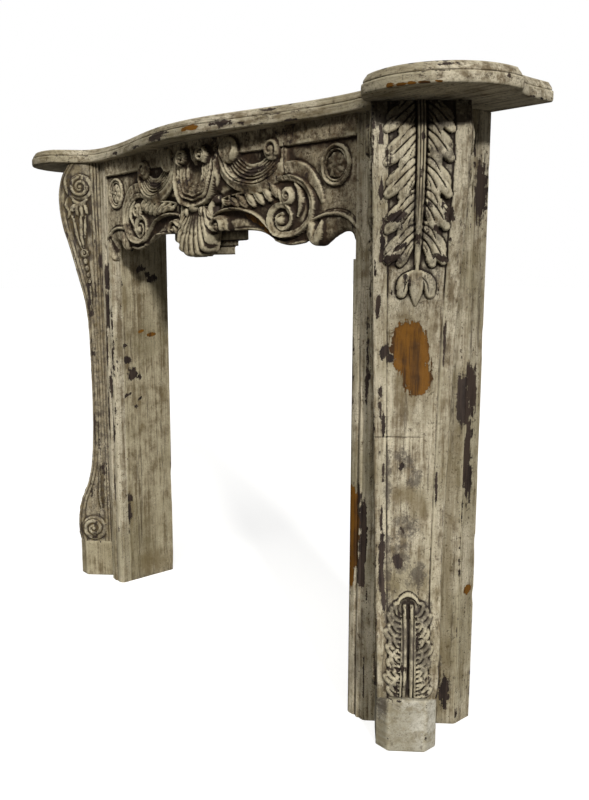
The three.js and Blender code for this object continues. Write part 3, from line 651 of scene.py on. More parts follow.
def stain_group() -> bpy.types.NodeTree:
    """A soft stain that lets the paint show through in streaks; on the consoles it also paints the shade
    under the shelf.

    Returns:
        The group.
    """
    inputs = {
        "Vector": None, "Color": (0.5, 0.5, 0.5, 1.0), "Stain": (0.06, 0.055, 0.055, 1.0), "Amount": 0.0,
        "Strength": 0.7,
    }
    group, sheet, given, made = new_group("Soft stain", inputs, {"Color": "Color"})
    get = given.outputs
    drift = sheet.step(sheet.noise(get["Vector"], 75.0, 6, 0.8), 0.34, 0.66)
    shift = sheet.math("MULTIPLY", sheet.math("SUBTRACT", drift, 0.5), 1.1)
    level = sheet.math("ADD", get["Amount"], shift)
    share = sheet.math("MULTIPLY", sheet.step(level, 0.2, 1.15), sheet.step(get["Amount"], 0.0, 0.3))
    share = sheet.math("MULTIPLY", share, get["Strength"])
    sheet.tree.links.new(sheet.mix(share, get["Color"], get["Stain"]), made.inputs["Color"])
    return group


def loss_group() -> bpy.types.NodeTree:
    """Paint that has come away with a ragged edge, down to what lies under it.

    Returns:
        The group.
    """
    inputs = {
        "Vector": None, "Place": None, "Color": (0.5, 0.5, 0.5, 1.0), "Under": (0.3, 0.14, 0.04, 1.0),
        "Deep": (0.1, 0.05, 0.02, 1.0), "Amount": 0.0, "Ragged": 0.5,
    }
    group, sheet, given, made = new_group("Paint loss", inputs, {"Color": "Color", "Mask": "Float"})
    get = given.outputs
    tear = sheet.step(sheet.noise(get["Place"], 62.0, 6, 0.7), 0.34, 0.66)
    split = sheet.step(sheet.noise(get["Vector"], 170.0, 5, 0.75), 0.32, 0.68)
    shift = sheet.math("SUBTRACT", sheet.math("ADD", tear, split), 1.0)
    level = sheet.math("ADD", get["Amount"], sheet.math("MULTIPLY", shift, get["Ragged"]))
    mask = sheet.math("MULTIPLY", sheet.step(level, 0.48, 0.52), sheet.step(get["Amount"], 0.02, 0.1))
    grain = sheet.noise(get["Vector"], 90.0, 6, 0.7)
    blotch = sheet.noise(get["Place"], 30.0, 3, 0.6)
    tone = sheet.math("ADD", sheet.math("MULTIPLY", grain, 0.75), sheet.math("MULTIPLY", blotch, 0.25))
    under = sheet.mix(sheet.step(tone, 0.43, 0.62), get["Under"], get["Deep"])
    rim = sheet.math("SUBTRACT", 1.0, sheet.step(level, 0.5, 0.6))
    under = sheet.mix(sheet.math("MULTIPLY", rim, 0.6), under, get["Deep"])
    sheet.tree.links.new(sheet.mix(mask, get["Color"], under), made.inputs["Color"])
    sheet.tree.links.new(mask, made.inputs["Mask"])
    return group


class Grain(Enum):
    """The way the brush and the wood run, as how much each axis is squeezed."""

    UPRIGHT = (1.0, 1.0, 0.045)
    ALONG = (0.05, 1.0, 1.0)
    CARVED = (0.8, 1.0, 0.45)


@dataclass(frozen=True)
class PaintFinish:
    """One painted finish, with what shows where the paint is worn away."""

    name: str
    grain: Grain
    light: tuple = srgb(208, 198, 173)
    shade: tuple = srgb(122, 108, 84)
    tint: tuple = srgb(134, 124, 94)
    # The glaze colour also paints shade where the recess values carry it, and the stain colour the shadow
    # under the shelf.
    glaze: tuple = srgb(38, 28, 19)
    rub: tuple = srgb(208, 198, 168)
    wood: tuple = srgb(122, 80, 18)
    wood_deep: tuple = srgb(68, 43, 14)
    bruise: tuple = srgb(66, 54, 46)
    bruise_deep: tuple = srgb(38, 29, 25)
    stain: tuple = srgb(72, 64, 58)
    olive: tuple = srgb(112, 96, 62)
    grime: float = 0.7
    fleck: float = 0.5
    glazing: float = 1.0
    bump: float = 0.0012
    olive_strength: float = 0.6
    stain_strength: float = 0.72
    bruise_ragged: float = 0.62
    bare_ragged: float = 0.3

    def material(self, groups: dict[str, bpy.types.NodeTree]) -> Material:
        """Builds the material.

        Args:
            groups: the shared node groups by name.

        Returns:
            The material.
        """
        material = bpy.data.materials.new(self.name)
        material.use_nodes = True
        tree = material.node_tree
        tree.nodes.clear()
        sheet = NodeSheet(tree)
        place = sheet.add("TexCoord").outputs["Object"]
        along = sheet.add("Mapping", {"Vector": place, "Scale": Vector(self.grain.value)}).outputs[0]
        worn = {
            key: sheet.add("Attribute", attribute_name=key, attribute_type="GEOMETRY").outputs["Fac"]
            for key in WEAR
        }

        def use(name: str, inputs: dict) -> bpy.types.Node:
            """Places a shared group with its own values."""
            return sheet.add("Group", inputs, node_tree=groups[name])

        paint = use("paint", {
            "Vector": along, "Place": place, "Light": self.light, "Shade": self.shade,
            "Tint": self.tint, "Grime": self.grime, "Fleck": self.fleck,
        })
        glaze = use("glaze", {
            "Place": place, "Color": paint.outputs["Color"], "Glaze": self.glaze, "Rub": self.rub,
            "Recess And Shade": worn["recess"], "Crest": worn["crest"], "Strength": self.glazing,
        })
        olive = use("stain", {
            "Vector": along, "Color": glaze.outputs["Color"], "Stain": self.olive,
            "Amount": worn["olive"], "Strength": self.olive_strength,
        })
        stain = use("stain", {
            "Vector": place, "Color": olive.outputs["Color"], "Stain": self.stain,
            "Amount": worn["stain"], "Strength": self.stain_strength,
        })
        bruise = use("loss", {
            "Vector": along, "Place": place, "Color": stain.outputs["Color"], "Under": self.bruise,
            "Deep": self.bruise_deep, "Amount": worn["dark"], "Ragged": self.bruise_ragged,
        })
        bare = use("loss", {
            "Vector": along, "Place": place, "Color": bruise.outputs["Color"], "Under": self.wood,
            "Deep": self.wood_deep, "Amount": worn["bare"], "Ragged": self.bare_ragged,
        })
        lost = sheet.math("MAXIMUM", bruise.outputs["Mask"], bare.outputs["Mask"])
        rough = sheet.math("SUBTRACT", paint.outputs["Roughness"], sheet.math("MULTIPLY", lost, 0.12))
        height = sheet.math("SUBTRACT", paint.outputs["Height"], sheet.math("MULTIPLY", lost, 0.8))
        bump = sheet.add("Bump", {"Height": height, "Distance": self.bump, "Strength": 0.7})
        shader = sheet.add("BsdfPrincipled", {
            "Base Color": bare.outputs["Color"], "Roughness": rough, "Normal": bump.outputs["Normal"],
            "Specular IOR Level": 0.3,
        })
        out = sheet.add("OutputMaterial", {"Surface": shader.outputs["BSDF"]})
        out.is_active_output = True
        return material


# The frieze

@dataclass
class Frieze:
    """The carved and bowed board under the shelf, with the stepped block in its middle."""

    shoulder: float = 838.3
    band_bottom: float = 1041.0
    band_proud: float = 7.0
    edge_round: float = 7.0
    undercut: float = 20.0
    block_slant: float = 31.0
    lobe_angle: float = 9.6
    column: float = 1.75
    rows: int = 132
    swag: tuple = (
        (0, 893), (60, 894), (120, 895), (179, 893), (206, 885), (236, 870), (268, 864), (302, 867),
        (315, 871), (328, 863), (345, 863), (367, 877), (393, 886), (408, 882), (415, 869),
    )

    def bow(self, across: Array) -> Array:
        """How far the bowed front stands proud of its ends."""
        share = np.minimum(1, np.abs(across) / FRIEZE_HALF_WIDTH)
        return FRIEZE_BOW * np.cos(math.pi / 2 * share) ** 2

    def low_edge(self, across: Array) -> Array:
        """The height of the apron's edge at a place across.

        Args:
            across: places along the board, from its middle.

        Returns:
            The heights.
        """
        places = np.abs(across)
        curve = smooth_path(list(self.swag), 2.0)
        low = np.interp(places, curve[:, 0], curve[:, 1])
        drop = np.interp(places, [415, 416.5, OPENING_HALF_WIDTH], [869, 856, self.shoulder])
        return np.where(places > 415, drop, low)

    def carve_ground(self, relief: Relief) -> None:
        """Lays the top band, and rounds off the apron's edge and the arch's cove.

        Args:
            relief: the frieze's face, which is raised and sunk.
        """
        relief.height += self.band_proud * ramp(relief.up, self.band_bottom - 1.2, self.band_bottom + 1.2)
        relief.cut([(258, 1041), (350, 1041), (434, 1041)], 2.0, 2.5, (1, 1))
        arch = [(338, 858), (350, 866), (367, 877), (393, 886), (408, 882), (416, 866), (419, 840)]
        near, distance, _, _ = relief.trace(smooth_path(arch), 24)
        relief.height[near] -= 9 * (1 - np.clip(distance / 24, 0, 1)) ** 1.6
        swag = [(120, 893), (179, 892), (206, 884), (236, 869), (268, 863), (302, 866), (322, 866)]
        relief.line(swag, 7, 5, Section.ROUND, (0.8, 0.8))

    def carve_shell(self, relief: Relief) -> None:
        """Carves the big shell with its rim, flutes and two curls.

        Args:
            relief: the frieze's face, which is raised and sunk.
        """
        relief.sink((165, 1048), (74, 56), 5)
        for k in range(6):
            inward = 6.2 * k
            flute = [
                (99 + 1.2 * inward, 1024 + 0.3 * inward), (124 + 0.5 * inward, 999 + inward),
                (162, 985 + inward), (196 - 0.2 * inward, 987 + 0.95 * inward),
                (226 - 0.6 * inward, 1002 + 0.75 * inward), (241 - 0.8 * inward, 1018 + 0.4 * inward),
            ]
            relief.line(flute, 3.4, 8.2 - 1.3 * k, Section.SHARP, (0.15, 0.25), 0.55)
        rim = [
            (79, 1052), (79, 1033), (87, 1013), (103, 995), (128, 981), (157, 973), (184, 970),
            (211, 975), (234, 986), (250, 1000), (257, 1018), (257, 1034),
        ]
        relief.line(rim, 9.5, 13, Section.CHANNEL, (0.7, 0.6))
        inner = [
            (90, 1046), (94, 1027), (108, 1007), (133, 992), (160, 984), (186, 982), (211, 988),
            (232, 1000), (243, 1013),
        ]
        relief.line(inner, 2.4, 11.5, Section.ROUND, (0.5, 0.5))
        relief.dome((108, 1049), (26, 25), 12, 0.22)
        relief.line([(98, 1071), (90, 1050), (98, 1029)], 5, 15, Section.ROUND, (0.5, 0.5))
        relief.line([(120, 1068), (127, 1050), (118, 1030), (104, 1026)], 3.4, 15, ends=(0.4, 0.3))
        relief.dome((226, 1040), (22, 21), 8, 0.3)
        relief.volute((226, 1040), 20, 13, -40, 1.25)
        relief.dome((226, 1040), (10, 9), 12)
        relief.cut([(257, 1047), (257, 1010), (256, 984)], 1.6, 4.0, (1, 1))

    def carve_frond(self, relief: Relief) -> None:
        """Carves the leafy frond under the shell: a thin spine with lobes that hang and curl from it.

        Args:
            relief: the frieze's face, which is raised and sunk.
        """
        relief.sink((120, 962), (52, 14), 8)
        relief.sink((190, 962), (62, 12), 7)
        spine = [(84, 958), (104, 962), (128, 964), (154, 966), (186, 968), (216, 972), (240, 980)]
        relief.line(spine, 2.4, 5, Section.ROUND, (0.6, 0.5))
        lobes = (
            ((84, 956), (96, 949), (112, 949), 6.5), ((104, 960), (117, 952), (134, 944), 7.0),
            ((126, 962), (140, 955), (156, 941), 7.0), ((150, 964), (166, 956), (178, 942), 7.5),
            ((174, 967), (188, 958), (200, 945), 7.5), ((198, 970), (212, 962), (222, 949), 7.5),
            ((220, 976), (232, 968), (238, 955), 7.0),
        )
        for root, middle, tip, width in lobes:
            relief.line([root, middle, tip], width, 10, Section.FLAT, (0.3, 0.75), 0.8)
            cut = [(0.5 * (root[0] + middle[0]), 0.5 * (root[1] + middle[1])), tip]
            relief.cut(cut, 1.2, 3.4)
            relief.cut([(tip[0] - 13, tip[1] - 1), (tip[0] - 5, tip[1] - 8)], 3, 6)
        relief.sink((67, 951), (12, 24), 10)
        relief.dome((67, 958), (8, 9), 4)

    def carve_stalk(self, relief: Relief) -> None:
        """Carves the S-shaped stalk, the rosette at its inner end and the cavetto under it.

        Args:
            relief: the frieze's face, which is raised and sunk.
        """
        stalk = [
            (56, 926), (78, 934), (105, 937), (132, 936), (157, 931), (183, 922), (203, 909),
            (216, 897), (228, 886), (244, 879),
        ]
        relief.line(stalk, 4.0, 10, Section.SHARP, (0.6, 0.6))
        hollow = [(70, 921), (105, 924), (135, 922), (160, 915), (185, 905), (205, 890), (222, 878)]
        relief.cut(hollow, 13, 5, (1, 1))
        relief.dome((78, 902), (25, 24), 11, 0.3)
        relief.volute((78, 902), 23, 18, 150, 1.2, -1)
        relief.dome((78, 901), (10, 10), 14)

    def carve_scroll(self, relief: Relief) -> None:
        """Carves the great C-scroll with its volutes, its dark hollow and the smooth band round it.

        Args:
            relief: the frieze's face, which is raised and sunk.
        """
        band = [(250, 1004), (286, 1001), (311, 991), (330, 974), (343, 955), (349, 940)]
        relief.line(band, 13.5, 6, Section.CHANNEL, (0.8, 0.35), 0.3)
        relief.cut([(262, 1017), (290, 1015), (316, 1004), (338, 986), (354, 960)], 1.5, 2.2)
        relief.cut([(303, 967), (318, 942), (318, 916), (300, 898)], 13, 10)
        great = [
            (246, 985), (270, 985), (293, 979), (312, 967), (324, 950), (328, 932), (323, 913),
            (311, 899), (294, 889), (273, 884), (252, 884), (234, 889), (223, 901), (222, 917),
            (231, 931), (247, 937), (263, 933), (273, 921), (272, 906), (261, 896), (248, 896),
            (240, 905), (242, 917), (252, 921),
        ]
        relief.line(great, 6.8, 12, Section.CHANNEL, (0.7, 0.55), 0.25)
        relief.cut([(270, 985), (293, 979), (312, 967), (324, 950), (328, 932), (323, 913)], 1.1, 2.4)
        relief.dome((251, 909), (8, 8), 15)
        relief.dome((266, 953), (17, 17), 8, 0.3)
        relief.volute((266, 953), 16, 11, 250, 1.2)
        relief.line([(284, 974), (297, 958), (299, 936), (289, 916)], 5, 9, Section.FLAT, (0.4, 0.3))
        relief.line([(240, 968), (250, 948), (250, 934)], 4, 8, Section.FLAT, (0.5, 0.3))
        relief.line([(331, 912), (324, 896), (326, 880), (331, 866)], 9, 9, Section.FLAT, (0.3, 0.6), 0.6)
        relief.line([(349, 905), (346, 890), (339, 876), (333, 866)], 8, 8, Section.FLAT, (0.3, 0.5), 0.6)
        relief.cut([(331, 915), (334, 894), (333, 874)], 2, 4)
        relief.cut([(322, 906), (319, 892), (322, 876)], 1.4, 3)
        relief.sink((334, 905), (9, 9), 6)

    def carve_panel(self, relief: Relief) -> None:
        """Carves the panel at the end of the frieze: its medallion and the bead of the arch.

        Args:
            relief: the frieze's face, which is raised and sunk.
        """
        relief.sink((382, 999), (31, 33), 2.5)
        relief.ellipse((382, 999), (32, 33), 3.4, 5.5)
        relief.ellipse((382, 999), (25.5, 26.5), 1.8, 3)
        relief.dome((382, 999), (21, 22), 2.5, 1)
        for k in range(8):
            turn = math.radians(45 * k + 12)
            tip = (382 + 18 * math.cos(turn), 999 + 19 * math.sin(turn))
            relief.line([(382, 999), tip], 4.5, 4.5, Section.FLAT, (0.2, 0.7), 0.7)
        relief.dome((382, 999), (5, 5), 6)
        bead = [(322, 906), (350, 915), (380, 917), (405, 912), (424, 901), (438, 886), (447, 868)]
        relief.line(bead, 3.2, 5, Section.ROUND, (0.6, 1.0))
        relief.cut([(345, 922), (380, 925), (408, 920), (432, 906)], 1.5, 2)

    def carve_middle(self, relief: Relief) -> None:
        """Carves the cartouche with its nested rims and its small scrolls.

        Args:
            relief: the frieze's face, which is raised and sunk.
        """
        relief.dome((0, 1004), (74, 60), 11, 0.35)
        relief.sink((0, 1018), (46, 38), 12)
        for k, half in enumerate((69, 58, 48, 38, 28)):
            low = 951 + 8.5 * k
            rim = [
                (half, 1046 - 3 * k), (0.97 * half, 1010), (0.72 * half, low + 0.24 * (1010 - low)),
                (0.34 * half, low + 4), (0, low), (-0.34 * half, low + 4),
            ]
            section = Section.CHANNEL if k == 0 else Section.SHARP
            relief.line(rim, 7.5 if k == 0 else 4.2, 20 - 2.6 * k, section, (0.5, 1.0), 0.4)
        relief.volute((35, 1046), 19, 22, -60, 1.7)
        relief.line([(64, 1064), (74, 1048), (70, 1026), (74, 1000), (66, 976)], 6, 12, ends=(0.5, 0.3))
        relief.line([(12, 1062), (4, 1048), (2, 1030)], 6, 12, ends=(0.6, 0.3))
        relief.line([(60, 962), (50, 944), (52, 925), (60, 908)], 6, 9, ends=(0.4, 0.4))

    def build(self, material: Material) -> None:
        """Builds the frieze and its block, and dresses them.

        Args:
            material: the frieze's paint.
        """
        inner = np.arange(-415, 415.01, self.column)
        end = np.array([415.4, 415.8, 416.2, 416.6, 417, 417.5, 418, 420, 422, 424, 426, 428, 430.7])
        x = np.concatenate([-end[::-1], inner, end])
        low = self.low_edge(x)
        share = np.linspace(0, 1, self.rows)
        across = np.repeat(x[:, None], self.rows, 1)
        up = low[:, None] + (BOARD_TOP - low)[:, None] * share[None, :]
        relief = Relief(np.abs(across), up)
        relief.height -= 1.5
        self.carve_ground(relief)
        self.carve_frond(relief)
        self.carve_stalk(relief)
        self.carve_scroll(relief)
        self.carve_shell(relief)
        self.carve_panel(relief)
        self.carve_middle(relief)
        place = np.stack([across, np.zeros_like(across), up], -1)
        wobble = 1.0 * lattice_noise(place, 14, 3) + 0.8 * lattice_noise(place, 4.5, 4)
        relief.height += wobble * ramp(np.abs(relief.height), 0, 3)
        border = np.minimum(up - low[:, None], 20.0)
        arch = np.array([
            (340, 863), (367, 877), (393, 886), (408, 882), (415, 869), (417.9, 856), (418, 838),
        ])
        near, distance, _, _ = relief.trace(arch, 14.0)
        border[near] = np.minimum(border[near], distance)
        radius = self.edge_round + 6.0 * ramp(np.abs(across), 395, 418)
        edge = np.clip(border / radius, 0, 1)
        proud = relief.height - radius * (1 - np.sqrt(1 - (1 - edge) ** 2))
        face = np.stack([across, -FRONT_FROM_WALL - self.bow(across) - proud, up], -1)
        hung = np.abs(x) < OPENING_HALF_WIDTH - self.edge_round
        rear = low + np.where(hung, self.undercut, 0.0)
        back = np.stack([x, np.full_like(x, -STILE_BACK_FROM_WALL), rear], -1)[:, None]
        under = back + (face[:, :1] - back) * 0.5
        top = np.stack([x, np.full_like(x, -STILE_BACK_FROM_WALL), np.full_like(x, BOARD_TOP)], -1)[:, None]
        rings = np.concatenate([back, under, face, top], 1)
        hollow = np.maximum(relief.hollows(4, 2.6), relief.hollows(11, 6.0))
        ground = ramp(-relief.height, -2.5, 0.5) * ramp(self.band_bottom - up, 0, 3)
        inside = ramp(330 - np.abs(across), 0, 12)
        drift = lattice_noise(place, 38, 15) + 0.6 * lattice_noise(place, 13, 16)
        recess = np.clip(hollow + 0.2 * ground * inside + 0.15 * ramp(drift, -0.1, 0.9) * inside, 0, 1)
        crest = relief.crests(4, 2.2) * ramp(-drift, -0.9, 0.2)
        bare = patched(across, up, [Patch(176, 912, 34, 6, -22), Patch(205, 893, 14, 4, -40)])
        dark = np.maximum(
            patched(np.abs(across), up, [Patch(172, 1003, 42, 7, 12), Patch(67, 950, 9, 18)]),
            0.4 * ramp(drift, 0.1, 1.0) * inside,
        )
        stain = 0.65 * ramp(drift, -0.4, 0.8)
        pad = ((0, 0), (2, 1))
        fields = {
            "recess": np.pad(recess, pad), "crest": np.pad(crest, pad),
            "bare": np.pad(bare, pad), "dark": np.pad(dark, pad), "stain": np.pad(stain, pad),
        }
        Piece("frieze_carving", rings, fields, 70).dress(material, "carved_paint", "frieze")
        self.build_block(material)
        self.build_palmette(material)

    def build_block(self, material: Material) -> None:
        """Builds the stepped block under the middle as one lofted piece.

        Args:
            material: the frieze's paint.
        """
        levels = [
            (915, 132, 0.5), (913, 132, 0), (884, 132, 0), (880, 130.5, 1.5), (878, 128, 3),
            (877.2, 96, 4.5), (875, 94, 4), (870, 94, 4), (868, 92.8, 5), (867, 91, 6.5),
            (866.3, 81, 8), (864, 79, 7), (853, 79, 7), (851, 78, 8), (850, 76, 10),
        ]
        rings = []
        for up, half, back in levels:
            front = -FRONT_FROM_WALL + back
            rear = -STILE_BACK_FROM_WALL - 1
            end = half - self.block_slant
            share = np.linspace(-1, 1, 81)
            rows = [
                np.column_stack([share * (half - 1.5), np.full(81, front)]),
                np.column_stack([np.linspace(half - 0.6, end, 11), np.linspace(front + 1.0, rear, 11)]),
                np.column_stack([-share * end, np.full(81, rear)])[1:-1],
                np.column_stack([np.linspace(-end, 0.6 - half, 11), np.linspace(rear, front + 1.0, 11)]),
            ]
            outline = np.vstack(rows)
            rings.append(np.column_stack([outline, np.full(len(outline), up)]))
        solid = np.stack(rings)
        solid[..., :2] += 0.5 * lattice_noise(solid, 9, 8)[..., None]
        recess = np.full(solid.shape[:2], 0.25)
        # Painted shade: the top of the block and the undersides of its steps are darkened through the glaze
        # values.
        recess[[0, 1, 4, 5, 9, 10]] = 0.9
        crest = np.zeros(solid.shape[:2])
        crest[[2, 3, 7, 12]] = 0.5
        fields = {"recess": recess, "crest": crest}
        Piece("frieze_stepped_block", solid, fields, 50).dress(material, "carved_paint")

    def build_palmette(self, material: Material) -> None:
        """Builds the palmette that hangs from the cartouche in front of the block.

        Args:
            material: the frieze's paint.
        """
        x = np.linspace(-56, 56, 90)
        share = np.abs(x) / 56
        scallop = 5.5 * np.abs(np.cos(math.pi * np.arctan(x / 123) / math.radians(self.lobe_angle)))
        low = 846.5 + 26 * share**3 + 22 * np.clip(share - 0.82, 0, 1) * 5 * share - scallop + 3
        high = 953 - 22 * share**2
        across = np.repeat(x[:, None], 88, 1)
        up = low[:, None] + (high - low)[:, None] * np.linspace(0, 1, 88)[None, :]
        relief = Relief(across, up)
        fan = (0.0, 975.0)
        angle = np.arctan2(across - fan[0], fan[1] - up)
        reach = np.hypot(across - fan[0], fan[1] - up)
        swell = ramp(reach, 22, 100)
        turn = angle / math.radians(self.lobe_angle)
        lobes = np.abs(np.cos(math.pi * turn)) ** 0.6
        relief.height += 7 + 15 * swell * (0.25 + 0.75 * lobes) - 5 * np.abs(angle)
        relief.height -= 2.2 * np.exp(-((reach - 84 - 4 * np.sin(turn * 2.1)) / 4.0) ** 2)
        relief.height += 1.2 * np.abs(np.sin(math.pi * turn * 2)) * ramp(reach, 40, 70)
        for hand in (-1, 1):
            relief.line([(hand * 26, 950), (hand * 40, 934), (hand * 45, 915), (hand * 38, 900)], 5.5, 14)
            relief.dome((hand * 25, 936), (8, 12), 16)
            relief.cut([(hand * 26, 944), (hand * 26, 928)], 1.6, 4)
        relief.dome((0, 943), (17, 11), 19)
        place = np.stack([across, np.zeros_like(across), up], -1)
        relief.height += 0.9 * lattice_noise(place, 11, 13) + 0.5 * lattice_noise(place, 4.5, 14)
        border = np.minimum(up - low[:, None], 56.5 - np.abs(across))
        edge = np.clip(border / 10, 0, 1)
        proud = relief.height - 16 * (1 - np.sqrt(1 - (1 - edge) ** 2))
        face = np.stack([across, -FRONT_FROM_WALL - FRIEZE_BOW - proud, up], -1)
        behind = np.full_like(x, -FRONT_FROM_WALL - 8.0)
        back = np.stack([x, behind, low + 1], -1)[:, None]
        top = np.stack([x, behind, high - 1], -1)[:, None]
        rings = np.concatenate([back, face, top], 1)
        recess = np.maximum(relief.hollows(3, 1.6), relief.hollows(8, 4))
        heart = np.exp(-((across / 20) ** 2) - ((up - 918) / 24) ** 2)
        pad = ((0, 0), (1, 1))
        fields = {
            "recess": np.pad(np.clip(recess + 0.55 * heart, 0, 1), pad),
            "crest": np.pad(relief.crests(3, 1.6), pad),
        }
        Piece("frieze_palmette", rings, fields, 70).dress(material, "carved_paint")


# The marks on the legs and the consoles

MARKS = {
    "right_console": Marks(
        bare=[
            Patch(-17, 706, 21, 30, -4), Patch(2, 706, 17, 30), Patch(-2, 672, 28, 34, -8),
            Patch(8, 644, 24, 34), Patch(-33, 690, 8, 9), Patch(12, 690, 15, 22),
        ],
        dark=[
            Patch(-47, 688, 9, 12), Patch(-38, 676, 7, 7), Patch(-46, 322, 4.5, 60),
            Patch(-47, 560, 3, 26), Patch(-46, 480, 2.5, 20), Patch(-48, 400, 3, 24),
            Patch(-56, 860, 4, 30), Patch(-60, 760, 4, 22), Patch(-42, 262, 4, 22), Patch(46, 906, 8, 12),
            Patch(-40, 838, 16, 7, 20), Patch(-36, 902, 18, 8, 24), Patch(38, 838, 13, 6, -20),
            Patch(30, 882, 10, 5, -30), Patch(-28, 855, 12, 5, 30), Patch(-62, 1018, 4, 12),
            Patch(-60, 940, 3, 16), Patch(-18, 326, 8, 10, 12), Patch(-12, 380, 3, 8, 30),
            Patch(-15, 490, 4, 7, -30), Patch(50, 700, 2, 34), Patch(44, 460, 2, 40),
        ],
        stain=[
            Patch(-10, 500, 16, 20, 20), Patch(6, 470, 12, 22), Patch(-4, 385, 22, 26, 15),
            Patch(-12, 336, 18, 26), Patch(14, 300, 16, 22, -15), Patch(-36, 330, 8, 60),
            Patch(-38, 470, 7, 50),
        ],
        olive=[
            Patch(-6, 442, 22, 18), Patch(14, 420, 14, 30), Patch(-14, 700, 44, 60), Patch(0, 640, 34, 60),
        ],
    ),
    "right_stile": Marks(
        bare=[
            Patch(430, 408, 14, 30), Patch(434, 360, 17, 44), Patch(432, 310, 15, 34),
            Patch(428, 272, 10, 26),
        ],
        dark=[
            Patch(458, 378, 11, 34), Patch(460, 330, 11, 44), Patch(456, 284, 12, 34),
            Patch(448, 424, 5, 22), Patch(420, 560, 4, 60), Patch(421, 160, 4, 70),
            Patch(462, 640, 4, 80),
        ],
    ),
    "right_cant_board": Marks(
        dark=[Patch(579, 600, 6, 44), Patch(570, 60, 6, 34), Patch(477, 760, 5, 70)],
        olive=[Patch(564, 400, 12, 190), Patch(562, 100, 14, 70)],
    ),
    "right_side_board": Marks(
        bare=[Patch(-19, 252, 10, 9)],
        dark=[
            Patch(-20, 950, 17, 46), Patch(-28, 618, 15, 46, 6), Patch(-40, 580, 10, 22),
            Patch(-34, 500, 13, 60, -4), Patch(-26, 452, 10, 34), Patch(-46, 18, 10, 14),
        ],
    ),
    "left_stile": Marks(
        dark=[
            Patch(441, 527, 8, 36), Patch(454, 617, 7, 48), Patch(436, 405, 6, 30),
            Patch(446, 712, 8, 44), Patch(440, 250, 4, 40), Patch(456, 450, 5, 50),
            Patch(442, 800, 10, 30), Patch(430, 600, 4, 40),
        ],
    ),
    "left_cant_board": Marks(
        dark=[Patch(560, 600, 10, 80)],
    ),
    "left_reveal_board": Marks(
        bare=[Patch(-83, 661, 9, 4, 15), Patch(-52, 652, 14, 6, 5)],
        dark=[
            Patch(-78, 820, 13, 8, 20), Patch(-46, 794, 14, 9, 30), Patch(-60, 806, 8, 5),
            Patch(-132, 627, 5, 5), Patch(-124, 590, 12, 9), Patch(-110, 553, 15, 17),
            Patch(-92, 543, 9, 7), Patch(-130, 498, 14, 4, 20), Patch(-92, 487, 9, 3, 40),
            Patch(-103, 467, 4, 5), Patch(-132, 226, 9, 12), Patch(-132, 190, 5, 30),
        ],
        olive=[
            Patch(-127, 742, 12, 36), Patch(-87, 412, 10, 10), Patch(-118, 317, 10, 9),
            Patch(-128, 200, 16, 56), Patch(-80, 40, 50, 28), Patch(-30, 30, 30, 20),
            Patch(-17, 492, 8, 22), Patch(-100, 470, 16, 26),
        ],
    ),
}


# The consoles

